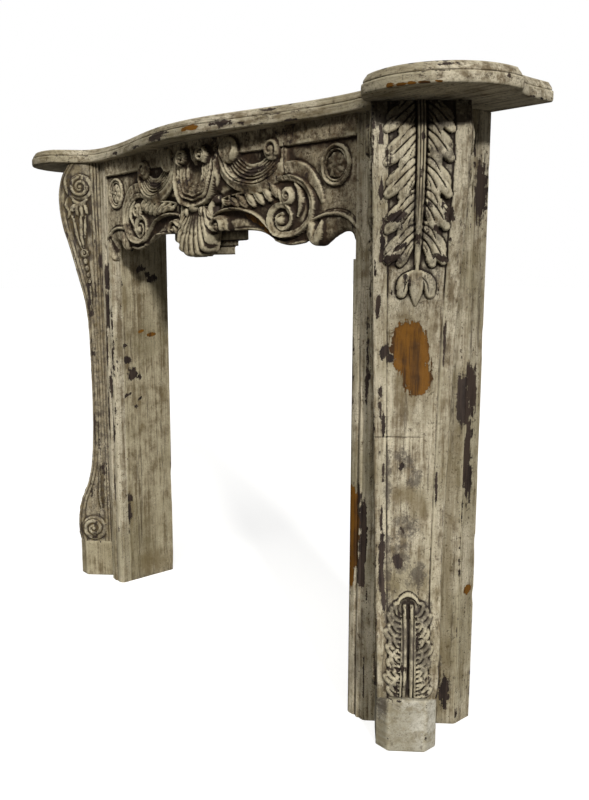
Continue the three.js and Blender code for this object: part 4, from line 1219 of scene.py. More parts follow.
@dataclass
class Console:
    """One S-shaped carved console, turned to stand on the cant board."""

    side: int
    top_half: float = 77.0
    foot_half: float = 51.0
    panel_share: float = 0.67
    panel_depth: float = 3.0
    arris: float = 3.0
    profile: tuple = (
        (0, 89), (0.031, 94), (0.071, 93), (0.116, 84), (0.158, 67), (0.209, 54), (0.285, 46),
        (0.392, 43), (0.534, 43), (0.636, 48), (0.717, 65), (0.788, 83), (0.847, 99), (0.895, 105),
        (0.936, 103), (0.972, 93), (1, 76),
    )
    front_points: int = 96
    flank_points: int = 42

    def half(self, up: Array) -> Array:
        """Half the console's width at a height."""
        share = (up - PLINTH_HEIGHT) / (LEG_HEIGHT - PLINTH_HEIGHT)
        return self.foot_half + (self.top_half - self.foot_half) * share

    def out(self, up: Array) -> Array:
        """How far the console stands out from its board at a height.

        Args:
            up: the heights.

        Returns:
            The distances from the board.
        """
        curve = smooth_path(list(self.profile), 0.25)
        share = (up - PLINTH_HEIGHT) / (LEG_HEIGHT - PLINTH_HEIGHT)
        return np.interp(share, curve[:, 0], curve[:, 1])

    def carve_upper_leaf(self, front: Relief) -> None:
        """Carves the long leaf that droops from the top: stem, lobes with fingers, and tongue.

        Args:
            front: the console's front, which is raised and sunk.
        """
        for hand in (-1, 1):
            for k, tip in enumerate((1027, 980, 930, 879, 829)):
                reach = 57 - 1.1 * k - (7 if hand > 0 else 0)
                lift = tip + (hand * 3 if k % 2 else 0)
                fingers = (
                    ((5, lift + 66), (20, lift + 56), (0.58 * reach, lift + 40), 6.5, 5.5),
                    ((5, lift + 58), (26, lift + 42), (0.86 * reach, lift + 22), 8.5, 6.5),
                    ((5, lift + 36), (20, lift + 17), (0.52 * reach, lift + 1), 9.0, 7.0),
                    ((5, lift + 48), (27, lift + 26), (reach - 5, lift + 5), 9.5, 8.5),
                )
                for root, middle, end, width, height in fingers:
                    path = [(hand * x, z) for x, z in (root, middle, end)]
                    front.line(path, width, height, Section.FLAT, (0.25, 0.72), 0.82)
                veins = (
                    ((9, lift + 49), (24, lift + 35), (0.84 * reach, lift + 12), 1.5, 4.2),
                    ((8, lift + 62), (20, lift + 53), (0.62 * reach, lift + 36), 1.4, 3.6),
                    ((8, lift + 40), (17, lift + 27), (0.55 * reach, lift + 9), 1.4, 3.8),
                    ((8, lift + 30), (14, lift + 21), (0.34 * reach, lift + 9), 1.2, 2.8),
                )
                for root, middle, end, width, depth in veins:
                    path = [(hand * x, z) for x, z in (root, middle, end)]
                    front.cut(path, width, depth, (0.6, 0.2))
            low_lobe = [(hand * 6, 815), (hand * 20, 802), (hand * 23, 782)]
            front.line(low_lobe, 9.5, 7, Section.FLAT, (0.5, 0.8), 0.7)
            front.cut([(hand * 9, 808), (hand * 17, 798), (hand * 20, 784)], 1.3, 3)
        front.line([(0, 812), (0, 792), (0, 763)], 12, 7.5, Section.FLAT, (0.7, 0.15), 0.3)
        front.line([(0, 1077), (0, 960), (0, 850), (0, 775)], 7.5, 9.5, Section.FLAT, (1.0, 0.3), 0.02)
        for offset in (-2.6, 2.6):
            front.cut([(offset, 1077), (offset, 940), (0.4 * offset, 800)], 1.1, 2.4, (1, 0.3))
        for hand in (-1, 1):
            front.cut([(hand * 8.2, 1077), (hand * 8, 940), (hand * 6.5, 840)], 1.5, 4.5, (1, 0.3))

    def carve_lower_leaf(self, front: Relief) -> None:
        """Carves the small leaf that stands on the foot, with the hood over it.

        Args:
            front: the console's front, which is raised and sunk.
        """
        front.line([(-19, 250), (-14, 263), (0, 270), (14, 263), (19, 250)], 3.6, 2.8, ends=(0.2, 0.2))
        front.sink((0, 254), (14, 15), 5)
        for hand in (-1, 1):
            front.line([(hand * 6, 101), (hand * 5.5, 170), (hand * 6, 252)], 3.4, 6.5, ends=(0.9, 0.8))
            front.line([(hand * 12, 101), (hand * 11, 160), (hand * 11, 232)], 2.2, 4.5, ends=(0.9, 0.5))
            for k, foot in enumerate((98, 121, 146, 171, 196, 220)):
                wide = 35 + 3 * math.sin(2.4 * k + hand)
                for lift, reach, size in ((0, wide, 4.2), (8.3, 0.86 * wide, 3.7), (16, 0.68 * wide, 3.2)):
                    path = [
                        (hand * 12, foot + lift), (hand * (0.4 * reach + 9), foot + lift + 3),
                        (hand * (0.85 * reach + 2), foot + lift + 9), (hand * (reach + 1), foot + lift + 19),
                        (hand * (reach - 5), foot + lift + 21),
                    ]
                    front.line(path, size, 3.2 + 0.5 * size, Section.ROUND, (0.35, 0.8), 0.6)
        front.cut([(0, 120), (0, 180), (0, 250)], 2.4, 3.5, (0.6, 1))

    def front_relief(self, across: Array, up: Array) -> Relief:
        """The carving of the front: its border, its sunk panel and its two leaves.

        Args:
            across: places across the front, from its middle.
            up: their heights.

        Returns:
            The carved front.
        """
        front = Relief(across, up)
        inside = self.panel_share * self.half(up) - np.abs(across)
        front.height -= self.panel_depth * ramp(inside, -0.6, 0.9)
        front.height -= 1.1 * np.exp(-((inside - 1.2) / 1.6) ** 2)
        front.height -= 0.9 * np.exp(-((self.half(up) - np.abs(across) - 7.5) / 1.4) ** 2)
        front.height -= 1.2 * np.exp(-((up - 541) / 1.0) ** 2) * ramp(24 - across, 0, 8)
        self.carve_upper_leaf(front)
        self.carve_lower_leaf(front)
        return front

    def flank_relief(self, out: Array, up: Array) -> Relief:
        """The carving of a side: raised borders, a scroll at each end, and a husk with its pendant.

        Args:
            out: distances from the board.
            up: the places' heights.

        Returns:
            The carved side.
        """
        flank = Relief(out, up)
        edge = self.out(up) - out
        flank.height -= 2.2 * ramp(edge, 13.0, 14.5) * ramp(out, 20.5, 22.0)
        flank.height -= 1.5 * np.exp(-((edge - 6.5) / 1.3) ** 2)
        for place in (7.0, 14.0):
            flank.height -= 1.6 * np.exp(-((out - place) / 1.3) ** 2)
        flank.dome((48, 1020), (31, 31), 2.5, 0.25)
        flank.volute((48, 1020), 28, 9.0, 80, 1.5, -1)
        flank.line([(82, 1052), (86, 1030), (80, 1006), (66, 990)], 4.5, 4.5, ends=(0.4, 0.4))
        flank.dome((52, 133), (33, 33), 2.5, 0.25)
        flank.volute((52, 133), 31, 8.5, -70, 1.4, 1)
        flank.line([(34, 990), (50, 978), (68, 988)], 6, 6, Section.ROUND, (0.5, 0.5))
        for reach, tip in ((34, 958), (46, 952), (58, 955), (70, 964)):
            husk_leaf = [(0.5 * reach + 25, 980), (reach + 2, 968), (reach, tip)]
            flank.line(husk_leaf, 5, 6, Section.FLAT, (0.3, 0.8))
        flank.line([(82, 994), (86, 976), (78, 958), (84, 944)], 4.5, 6, ends=(0.4, 0.4))
        flank.line([(72, 950), (66, 930), (62, 905), (54, 880), (48, 862)], 4, 6, ends=(0.5, 0.3))
        flank.line([(50, 948), (50, 925), (50, 900), (46, 872)], 5, 6.5, ends=(0.6, 0.4))
        flank.line([(38, 950), (40, 922), (42, 895)], 3.5, 5, ends=(0.4, 0.3))
        for k in range(4):
            flank.dome((43 - 2.5 * k, 838 - 17 * k), (5.5 - 0.7 * k, 8 - k), 5 - 0.8 * k)
        flank.volute((45, 858), 11, 7, 90, 1.2)
        flank.line([(34, 775), (33, 755), (32, 720)], 2.6, 3, ends=(0.8, 0.2), belly=0.1)
        flank.line([(30, 190), (34, 220), (32, 260), (30, 310)], 2.6, 2.6, ends=(0.8, 0.2), belly=0.1)
        return flank

    def placed(self, across: Array, out: Array, up: Array) -> Array:
        """Points of the console's own frame in the drawn frame.

        Args:
            across: places across the front, from its middle.
            out: their distances from the board.
            up: their heights.

        Returns:
            The drawn points.
        """
        turn = self.side * CANT
        clear = GAP * math.sqrt(0.5)
        x = self.side * (CONSOLE_MIDDLE_X + clear) + across * math.cos(turn) + out * math.sin(turn)
        y = -CONSOLE_MIDDLE_FROM_WALL - clear + across * math.sin(turn) - out * math.cos(turn)
        return np.stack([x, y, up], -1)

    def levels(self) -> Array:
        """The heights of the rings: close where there is carving.

        Returns:
            The heights, from the foot up.
        """
        low = np.arange(PLINTH_HEIGHT + GAP, 300, 1.6)
        seam = np.array([538.5, 540, 541, 542, 543.5])
        middle = np.concatenate([np.arange(300, 536, 4.0), seam, np.arange(546, 748, 4.0)])
        return np.concatenate([low, middle, np.arange(750, BOARD_TOP, 1.6), [BOARD_TOP]])

    def build(self, name: str, material: Material) -> None:
        """Builds the console and dresses it.

        Args:
            name: the CAD node that it stands for.
            material: its paint.
        """
        marks = MARKS.get(name, Marks())
        z = self.levels()
        u = np.linspace(-1, 1, self.front_points)
        v = np.linspace(0, 1, self.flank_points)
        up = np.repeat(z[:, None], self.front_points, 1)
        half = self.half(up)
        across = u[None, :] * half
        front = self.front_relief(across, up)
        corner = np.clip((np.abs(across) - (half - self.arris)) / self.arris, 0, 1)
        round_off = self.arris * (1 - np.sqrt(1 - corner**2))
        place = np.stack([across, np.full_like(up, 40.0 * self.side), up], -1)
        wobble = 0.55 * lattice_noise(place, 16, 5) + 0.3 * lattice_noise(place, 6, 6)
        front.height += wobble
        front_out = self.out(up) + front.height - round_off
        side_up = np.repeat(z[:, None], self.flank_points, 1)
        side_out = v[None, :] * (self.out(side_up) - self.arris)
        flank = self.flank_relief(side_out, side_up)
        side_place = np.stack([side_out, np.full_like(side_up, 90.0 * self.side), side_up], -1)
        flank.height += 0.4 * lattice_noise(side_place, 13, 7)
        wide = self.half(side_up) + flank.height
        rings = np.concatenate([
            self.placed(-wide, side_out, side_up),
            self.placed(across, front_out, up),
            self.placed(wide, side_out, side_up)[:, ::-1],
        ], 1)
        front_glaze_and_shade = np.clip(np.maximum(front.hollows(2, 1.5), 0.75 * front.hollows(6, 4.2)), 0, 1)
        seam = np.exp(-(((up - 541) / 1.2) ** 2)) * ramp(24 - across, 0, 8)
        leafy = ramp(up, 765, 800) * ramp(1090 - up, 0, 20) + ramp(285 - up, 0, 20)
        leafy = leafy * ramp(self.panel_share * half - np.abs(across) + 6, 0, 6)
        drift = ramp(lattice_noise(place * [1, 1, 0.3], 30, 19), -0.6, 0.7)
        plain = (0.45 + 0.55 * drift) * (1 - np.clip(leafy, 0, 1))
        front_glaze_and_shade = np.maximum(front_glaze_and_shade * (plain + np.clip(leafy, 0, 1)), 0.5 * seam)
        flank_recess = 1.15 * np.clip(np.maximum(flank.hollows(2, 1.1), flank.hollows(5, 2.6)), 0, 1)
        edge = np.exp(-(((half - np.abs(across)) / 5.0) ** 2))
        edge = edge + np.exp(-(((across + 0.82 * half) / 3.0) ** 2))
        squeezed = place * [1, 1, 0.35]
        chips = 0.5 * np.clip(edge, 0, 1) * ramp(lattice_noise(squeezed, 13, 9), -0.15, 0.6)
        blots = 0.46 * leafy * ramp(lattice_noise(place, 17, 12), -0.1, 0.75)
        front_dark = np.max([patched(across, up, marks.dark), chips, blots], axis=0)
        front_bare = patched(across, up, marks.bare)
        blank = np.zeros_like(side_out)
        smoke = 0.75 * leafy * ramp(lattice_noise(place, 30, 15), -0.3, 0.7)
        # Painted shadow of the shelf: the top of the front, from about 1030 mm up, is darkened through the
        # glaze and the stain values.
        painted_shelf_shadow = ramp(up, 1030 + 3 * lattice_noise(place, 20, 18), 1042)
        front_glaze_and_shade = np.clip(front_glaze_and_shade + 0.35 * painted_shelf_shadow, 0, 1)
        low_smoke = 0.4 * ramp(276 - up, 0, 20) * ramp(self.panel_share * half + 8 - np.abs(across), 0, 8)
        stained = patched(across, up, marks.stain)
        spread = np.clip(stained + smoke + painted_shelf_shadow + low_smoke, 0, 1)
        near_edge = np.exp(-(((self.out(side_up) - side_out) / 8.0) ** 2))
        streaked = lattice_noise(side_place * [1, 1, 0.3], 18, 17)
        side_chips = (0.42 + 0.35 * near_edge) * ramp(streaked, 0.0, 0.6)
        flank_crest = flank.crests(2, 1.4)
        fields = {
            "recess": np.concatenate([flank_recess, front_glaze_and_shade, flank_recess[:, ::-1]], 1),
            "crest": np.concatenate([flank_crest, front.crests(3, 1.8), flank_crest[:, ::-1]], 1),
            "bare": np.concatenate([blank, front_bare, blank], 1),
            "dark": np.concatenate([side_chips, front_dark, side_chips[:, ::-1]], 1),
            # The flanks are darkened and browned evenly all over, more than the front: partly painted shade
            # on the consoles' sides, partly stain.
            "stain": np.concatenate([blank + 0.55, spread, blank + 0.55], 1),
            "olive": np.concatenate([blank + 0.7, patched(across, up, marks.olive), blank + 0.7], 1),
        }
        Piece(name + "_carving", rings, fields, 65).dress(material, "carved_paint", name)


# The shelf

@dataclass
class Shelf:
    """The serpentine shelf, with its moulded edge."""

    waist: float = FRONT_FROM_WALL + 22.0
    bow: float = 64.0
    thickness: float = 32.0
    lower_band: float = 17.0
    bulge_x: float = CONSOLE_MIDDLE_X + 69.6
    bulge_from_wall: float = CONSOLE_MIDDLE_FROM_WALL + 21.9
    bulge_radius: float = 136.0
    end_return: float = 45.0

    def half_outline(self) -> Array:
        """The front of the shelf in plan, from its middle to its right end at the wall.

        Returns:
            The points in order, one in each row.
        """
        x = np.linspace(0, FRIEZE_HALF_WIDTH, 90, endpoint=False)
        bow = self.bow * np.cos(math.pi / 2 * x / FRIEZE_HALF_WIDTH) ** 2
        points = [np.column_stack([x, -self.waist - bow])]
        notch_x = self.bulge_x - 78
        notch_y = -self.bulge_from_wall - 100
        t = np.linspace(0, 1, 26, endpoint=False)[:, None]
        start = np.array([FRIEZE_HALF_WIDTH, -self.waist])
        by = np.array([notch_x - 14, -self.waist])
        to = np.array([notch_x, notch_y])
        points.append((1 - t) ** 2 * start + 2 * t * (1 - t) * by + t**2 * to)
        angles = np.radians(np.linspace(-114, 6, 76))
        bulge = np.column_stack([np.cos(angles), np.sin(angles)]) * self.bulge_radius
        points.append(bulge + [self.bulge_x, -self.bulge_from_wall])
        end_x = self.bulge_x + self.bulge_radius - 25
        step = np.array([end_x + 18, -self.bulge_from_wall + 25])
        ease = np.array([end_x, step[1] + 14])
        last = np.array([end_x, -self.end_return])
        t = np.linspace(0, 1, 18, endpoint=False)[:, None]
        points.append((1 - t) ** 2 * step + 2 * t * (1 - t) * ease + t**2 * last)
        points.append(np.column_stack([np.full(13, end_x), np.linspace(-self.end_return, 0, 13)]))
        return np.vstack(points)

    def inset(self, outline: Array, distance: float) -> Array:
        """The outline moved in by one distance along softened normals, its ends kept on the wall.

        Args:
            outline: the shelf's whole outline.
            distance: how far it moves in.

        Returns:
            The moved outline, with as many points.
        """
        ahead = np.gradient(outline, axis=0)
        normal = np.column_stack([-ahead[:, 1], ahead[:, 0]])
        normal /= np.linalg.norm(normal, axis=1, keepdims=True)
        reach = 5
        window = np.hanning(2 * reach + 3)[1:-1]
        padded = np.pad(normal, ((reach, reach), (0, 0)), mode="edge")
        soft = np.column_stack([np.convolve(padded[:, k], window, mode="valid") for k in (0, 1)])
        soft /= np.linalg.norm(soft, axis=1, keepdims=True)
        moved = outline + soft * distance
        for end, hand in ((0, 1), (-1, -1)):
            moved[end] = outline[end] + [hand * distance, 0]
        return moved

    def build(self, material: Material) -> None:
        """Builds the shelf and dresses it.

        Args:
            material: its paint.
        """
        right = self.half_outline()
        run = np.concatenate([[0], np.cumsum(np.linalg.norm(np.diff(right, axis=0), axis=1))])
        toward = np.column_stack([0.98 * right[-1, 0] * run / run[-1], np.zeros(len(run))])
        outline = np.vstack([right[1:][::-1] * [-1, 1], right])
        toward = np.vstack([toward[1:][::-1] * [-1, 1], toward])
        band = self.lower_band
        profile = [
            (0.0, 9.0), (0.0, 3.0), (0.5, 1.0), (2.0, 0.0), (5.0, -0.4), (9.0, -0.3), (13.0, -0.2),
            (band - 1.5, 0.0), (band - 0.3, 0.9), (band, 2.6), (band + 0.8, 3.4), (band + 1.6, 2.6),
            (band + 2.4, 2.4), (band + 5.0, 3.2), (band + 8.0, 5.2), (band + 10.5, 7.2),
            (band + 11.5, 7.8), (band + 13.0, 8.6), (band + 14.2, 10.2), (self.thickness, 12.5),
        ]
        steps = [
            np.column_stack([self.inset(outline, inset), np.full(len(outline), LEG_HEIGHT + rise)])
            for rise, inset in profile
        ]
        for rise in (self.thickness, 0.0):
            steps.append(np.column_stack([toward, np.full(len(outline), LEG_HEIGHT + rise)]))
        rings = np.stack(steps, 1)
        noise = lattice_noise(rings, 11, 21)
        dent = np.clip(lattice_noise(rings, 26, 22) - 0.42, 0, 1) * 5
        on_edge = np.zeros(len(steps))
        on_edge[[2, 3, 7, 8, 17, 18]] = 1
        inward = rings[:, -1:, :] - rings
        inward /= np.maximum(np.linalg.norm(inward, axis=-1, keepdims=True), 1)
        shift = (0.3 * noise + dent * on_edge)[..., None]
        shift[:, [0, -3, -2, -1]] = 0
        rings = rings + inward * shift * [1, 1, 0]
        recess = np.zeros(rings.shape[:2])
        # Dark glaze in the groove above the lower band and on the slope above it, partly painted shade under
        # the shelf's nose.
        recess[:, [9, 10, 11]] = 0.4
        recess[:, [14, 15, 16]] = 0.2
        crest = np.zeros(rings.shape[:2])
        crest[:, [2, 3, 7, 17, 18]] = 0.5
        x, up = rings[..., 0], rings[..., 2]
        levels = np.arange(rings.shape[1])[None, :]
        bruises = [
            Patch(-62, 1089, 42, 7, 4), Patch(146, 1090, 28, 6, -3), Patch(190, 1086, 12, 3),
            Patch(246, 1104, 22, 2.5), Patch(722.5, 1094, 1.6, 6), Patch(676, 1104, 10, 2),
            Patch(-190, 1083, 22, 3), Patch(-330, 1086, 16, 3), Patch(300, 1080, 18, 2.5),
        ]
        bare = [
            Patch(60, 1091, 24, 6, -4), Patch(38, 1089, 9, 4), Patch(600, 1081, 7, 4),
            Patch(618, 1080, 9, 3), Patch(634, 1080, 6, 2.5), Patch(650, 1079.5, 8, 2.5),
            Patch(668, 1080, 5, 2),
        ]
        edge_loss = on_edge[None, :] * 0.34 * ramp(lattice_noise(rings, 60, 23), -0.3, 0.5)
        front = (rings[..., 1] < -150) & (levels > 1) & (levels < 19)
        fields = {
            "recess": recess, "crest": crest, "bare": patched(x, up, bare) * front,
            "dark": np.maximum(patched(x, up, bruises) * front, edge_loss),
        }
        Piece("shelf_board", rings, fields, 50).dress(material, "shelf_paint", "shelf")


# The legs

@dataclass
class Leg:
    """The boards and the plinth block of one leg: side is 1 on the right and -1 on the left."""

    side: int
    name: str
    level: float = 4.0
    plinth_half: float = 51.5
    plinth_deep: float = 96.0
    plinth_cut: float = 27.0

    def raised(
        self, piece: str, corners: Points, bottom: float, top: float, radius: float = 1.6,
        spacing: float = 4.0, seed: int = 31,
    ) -> tuple[Array, Array]:
        """Rings of a board or block that stands on a plan outline.

        Args:
            piece: the piece's name, for its own noise.
            corners: the outline on the right-hand side.
            bottom: the lowest height.
            top: the highest height.
            radius: how far its long edges are rounded.
            spacing: the longest edge in plan.
            seed: the noise of its worn faces.

        Returns:
            The rings, and the share of edge at each point.
        """
        outline, worn = rounded_outline([(self.side * x, y) for x, y in corners], radius, spacing)
        heights = np.arange(bottom + 2, top - 2, self.level)
        heights = np.concatenate([[bottom, bottom + 0.8], heights, [top - 0.8, top]])
        rings = np.stack([np.column_stack([outline, np.full(len(outline), z)]) for z in heights])
        middle = rings.mean((0, 1)) * [1, 1, 0]
        outward = rings * [1, 1, 0] - middle
        outward /= np.maximum(np.linalg.norm(outward, axis=-1, keepdims=True), 1)
        own = seed + len(piece) + 5 * self.side
        dent = np.clip(lattice_noise(rings * [1, 1, 0.5], 17, own) - 0.45, 0, 1) * 4
        rings = rings + outward * (-dent * worn[None, :])[..., None]
        rings[[0, -1], :, :2] -= outward[[0, -1], :, :2] * 1.0
        return rings, np.repeat(worn[None, :], len(heights), 0)

    def wear(self, rings: Array, worn: Array, seed: int) -> tuple[Array, Array]:
        """The edge wear of a board, as crest and as loss of paint."""
        along = lattice_noise(rings * [1, 1, 0.4], 24, seed)
        return worn * 0.5, worn * 0.45 * ramp(along, -0.25, 0.55)

    def build_board(self, piece: str, corners: Points, material: Material, axis: int = 1) -> None:
        """Builds one flat board and dresses it.

        Args:
            piece: the board's name without its side.
            corners: its plan outline on the right-hand side.
            material: its paint.
            axis: the plan axis that its marks are placed on: 0 for x and 1 for y.
        """
        node = f"{self.name}_{piece}"
        marks = MARKS.get(node, Marks())
        rings, worn = self.raised(piece, corners, 0, BOARD_TOP)
        crest, loss = self.wear(rings, worn, 40 + len(piece))
        place, up = rings[..., axis], rings[..., 2]
        if axis == 0:
            place = place * self.side
        # The recess values make each board darker towards the floor, over its lowest 28 mm.
        fields = {
            "crest": crest, "bare": patched(place, up, marks.bare),
            "dark": np.maximum(patched(place, up, marks.dark), loss), "recess": 0.3 * ramp(-up, -28, 0),
            "olive": patched(place, up, marks.olive),
        }
        Piece(node + "_painted", rings, fields, 40).dress(material, "board_paint", node)

    def build_stile(self, material: Material) -> None:
        """Builds the moulded stile, with its rounded edge, its groove and the end of the arch's bead.

        Args:
            material: its paint.
        """
        node = f"{self.name}_stile"
        marks = MARKS.get(node, Marks())
        edge = OPENING_HALF_WIDTH
        front = -FRONT_FROM_WALL
        back = -STILE_BACK_FROM_WALL
        plan = [(edge, back), (edge, front + 18)]
        plan += [
            (edge + 13 * (1 - math.cos(a)), front + 13 * (1 - math.sin(a)))
            for a in np.linspace(0.0, math.pi / 2, 9)
        ]
        plan += [(x, front) for x in np.arange(edge + 14.5, STILE_OUTER_X - 0.9, 1.5)]
        plan += [(STILE_OUTER_X - 0.7, front + 0.4), (STILE_OUTER_X - GAP, front + 1.5)]
        plan += [(STILE_MITRE_X - GAP, back), (STILE_MITRE_X - 12, back)]
        outline = np.array(plan)
        heights = np.concatenate([
            [0, 0.8], np.arange(3, 836, 4.0), [837.9, 838.1], np.arange(841, 920, 2.0),
            np.arange(922, BOARD_TOP - 2, 5.0), [BOARD_TOP],
        ])
        rings = np.stack([np.column_stack([outline, np.full(len(outline), z)]) for z in heights])
        above = rings[..., 2] > 838
        rings[..., 0] = np.where(above, np.maximum(rings[..., 0], FRIEZE_HALF_WIDTH), rings[..., 0])
        x, up = rings[..., 0].copy(), rings[..., 2].copy()
        faced = np.isclose(rings[..., 1], front)
        relief = Relief(x, up)
        groove = np.exp(-(((x - edge - 24) / 2.0) ** 2))
        relief.height -= 2.4 * groove
        relief.height -= 0.8 * np.exp(-(((x - edge - 36) / 1.6) ** 2))
        relief.line([(405, 912), (424, 901), (438, 886), (446, 868), (449, 845), (450, 700)], 3.2, 4)
        relief.line([(450, 850), (450, 400), (450, 2)], 3.2, 2.4, ends=(1, 1))
        rings[..., 1] -= np.where(faced, relief.height, 0)
        rings[..., 0] *= self.side
        recess = 0.55 * groove * ramp(lattice_noise(rings * [1, 1, 0.3], 30, 63), -0.7, 0.5) * faced
        # Painted shade: the top of the stile, from 980 mm up, is darkened through the glaze values.
        shade = ramp(up, 980, 1070) * 0.3
        along = lattice_noise(rings * [1, 1, 0.3], 22, 61)
        worn = np.exp(-(((x - edge - 9) / 6) ** 2)) + np.exp(-(((x - STILE_OUTER_X) / 3) ** 2))
        loss = 0.46 * np.clip(worn, 0, 1) * ramp(along, -0.1, 0.6)
        fields = {
            "recess": np.maximum(recess, shade), "crest": 0.4 * np.clip(worn, 0, 1),
            "bare": patched(x, up, marks.bare), "dark": np.maximum(patched(x, up, marks.dark), loss),
        }
        Piece(node + "_moulded", rings, fields, 50).dress(material, "board_paint", node)

    def build_plinth(self, material: Material) -> None:
        """Builds the plinth block with its two cut corners and dresses it.

        Args:
            material: its paint.
        """
        half = self.plinth_half
        deep = self.plinth_deep
        cut = self.plinth_cut * math.sqrt(0.5)
        corners = [
            (-half, 0), (-half, deep - cut), (-half + cut, deep), (half - cut, deep),
            (half, deep - cut), (half, 0),
        ]
        outline, worn = rounded_outline(corners, 2.6, 3.5)
        console = Console(self.side)
        heights = np.concatenate([[0, 0.7], np.arange(2.5, 92, 3.0), [93.2, 94.5, 95]])
        inset = np.interp(heights, [0, 2.5, 92, 94.5, 95], [2.2, 0, 0, 1.6, 3.0])
        rings, edges = [], []
        for z, shrink in zip(heights, inset):
            scale = 1 - shrink / half
            across = outline[:, 0] * scale
            out = np.minimum(outline[:, 1] * (1 - shrink / deep), outline[:, 1])
            rings.append(console.placed(across, out, np.full(len(outline), z)))
            edges.append(worn * 0.6 + 0.4 * (z < 3) + 0.6 * (z > 91))
        solid = np.stack(rings)
        worn_share = np.clip(np.stack(edges), 0, 1)
        rough = 0.5 * lattice_noise(solid, 9, 71 + self.side) + 0.5 * lattice_noise(solid, 24, 73)
        centre = console.placed(np.zeros(1), np.full(1, 48.0), np.zeros(1))[0] * [1, 1, 0]
        outward = solid * [1, 1, 0] - centre
        outward /= np.maximum(np.linalg.norm(outward, axis=-1, keepdims=True), 1)
        solid[2:-2] += (outward * rough[..., None] * 0.9)[2:-2]
        across = np.repeat(outline[None, :, 0], len(heights), 0)
        stain = patched(across, solid[..., 2], [Patch(-44, 78, 11, 24)])
        along = lattice_noise(solid, 15, 75)
        fields = {
            "crest": worn_share * 0.5, "dark": worn_share * 0.42 * ramp(along, -0.1, 0.6),
            "stain": stain,
        }
        node = f"{self.name}_plinth_block"
        Piece(node + "_painted", solid, fields, 35).dress(material, "plinth_paint", node)

    def build(
        self, boards: Material, inside: Material, plinths: Material,
    ) -> None:
        """Builds the leg's stile, its three boards and its plinth block.

        Args:
            boards: the paint of the outer boards.
            inside: the paint of the reveal: darker and more yellowed than the boards' paint, the darkening
                partly painted shade.
            plinths: the paint of the plinth block.
        """
        reach = CANT_RUN
        cant = [
            (STILE_OUTER_X, -FRONT_FROM_WALL), (SIDE_OUTER_X, -FRONT_FROM_WALL + reach),
            (SIDE_INNER_X, -FRONT_FROM_WALL + reach - BOARD + CANT_LEAN),
            (STILE_MITRE_X, -STILE_BACK_FROM_WALL),
        ]
        flank = [
            (SIDE_OUTER_X, -FRONT_FROM_WALL + reach + GAP), (SIDE_OUTER_X, 0), (SIDE_INNER_X, 0),
            (SIDE_INNER_X, -FRONT_FROM_WALL + reach - BOARD + CANT_LEAN + GAP),
        ]
        outer = OPENING_HALF_WIDTH + BOARD
        reveal = [
            (OPENING_HALF_WIDTH, -STILE_BACK_FROM_WALL + GAP), (outer, -STILE_BACK_FROM_WALL + GAP),
            (outer, 0), (OPENING_HALF_WIDTH, 0),
        ]
        self.build_board("reveal_board", reveal, inside)
        self.build_board("cant_board", cant, boards, axis=0)
        self.build_board("side_board", flank, boards)
        self.build_stile(boards)
        self.build_plinth(plinths)


# The studio

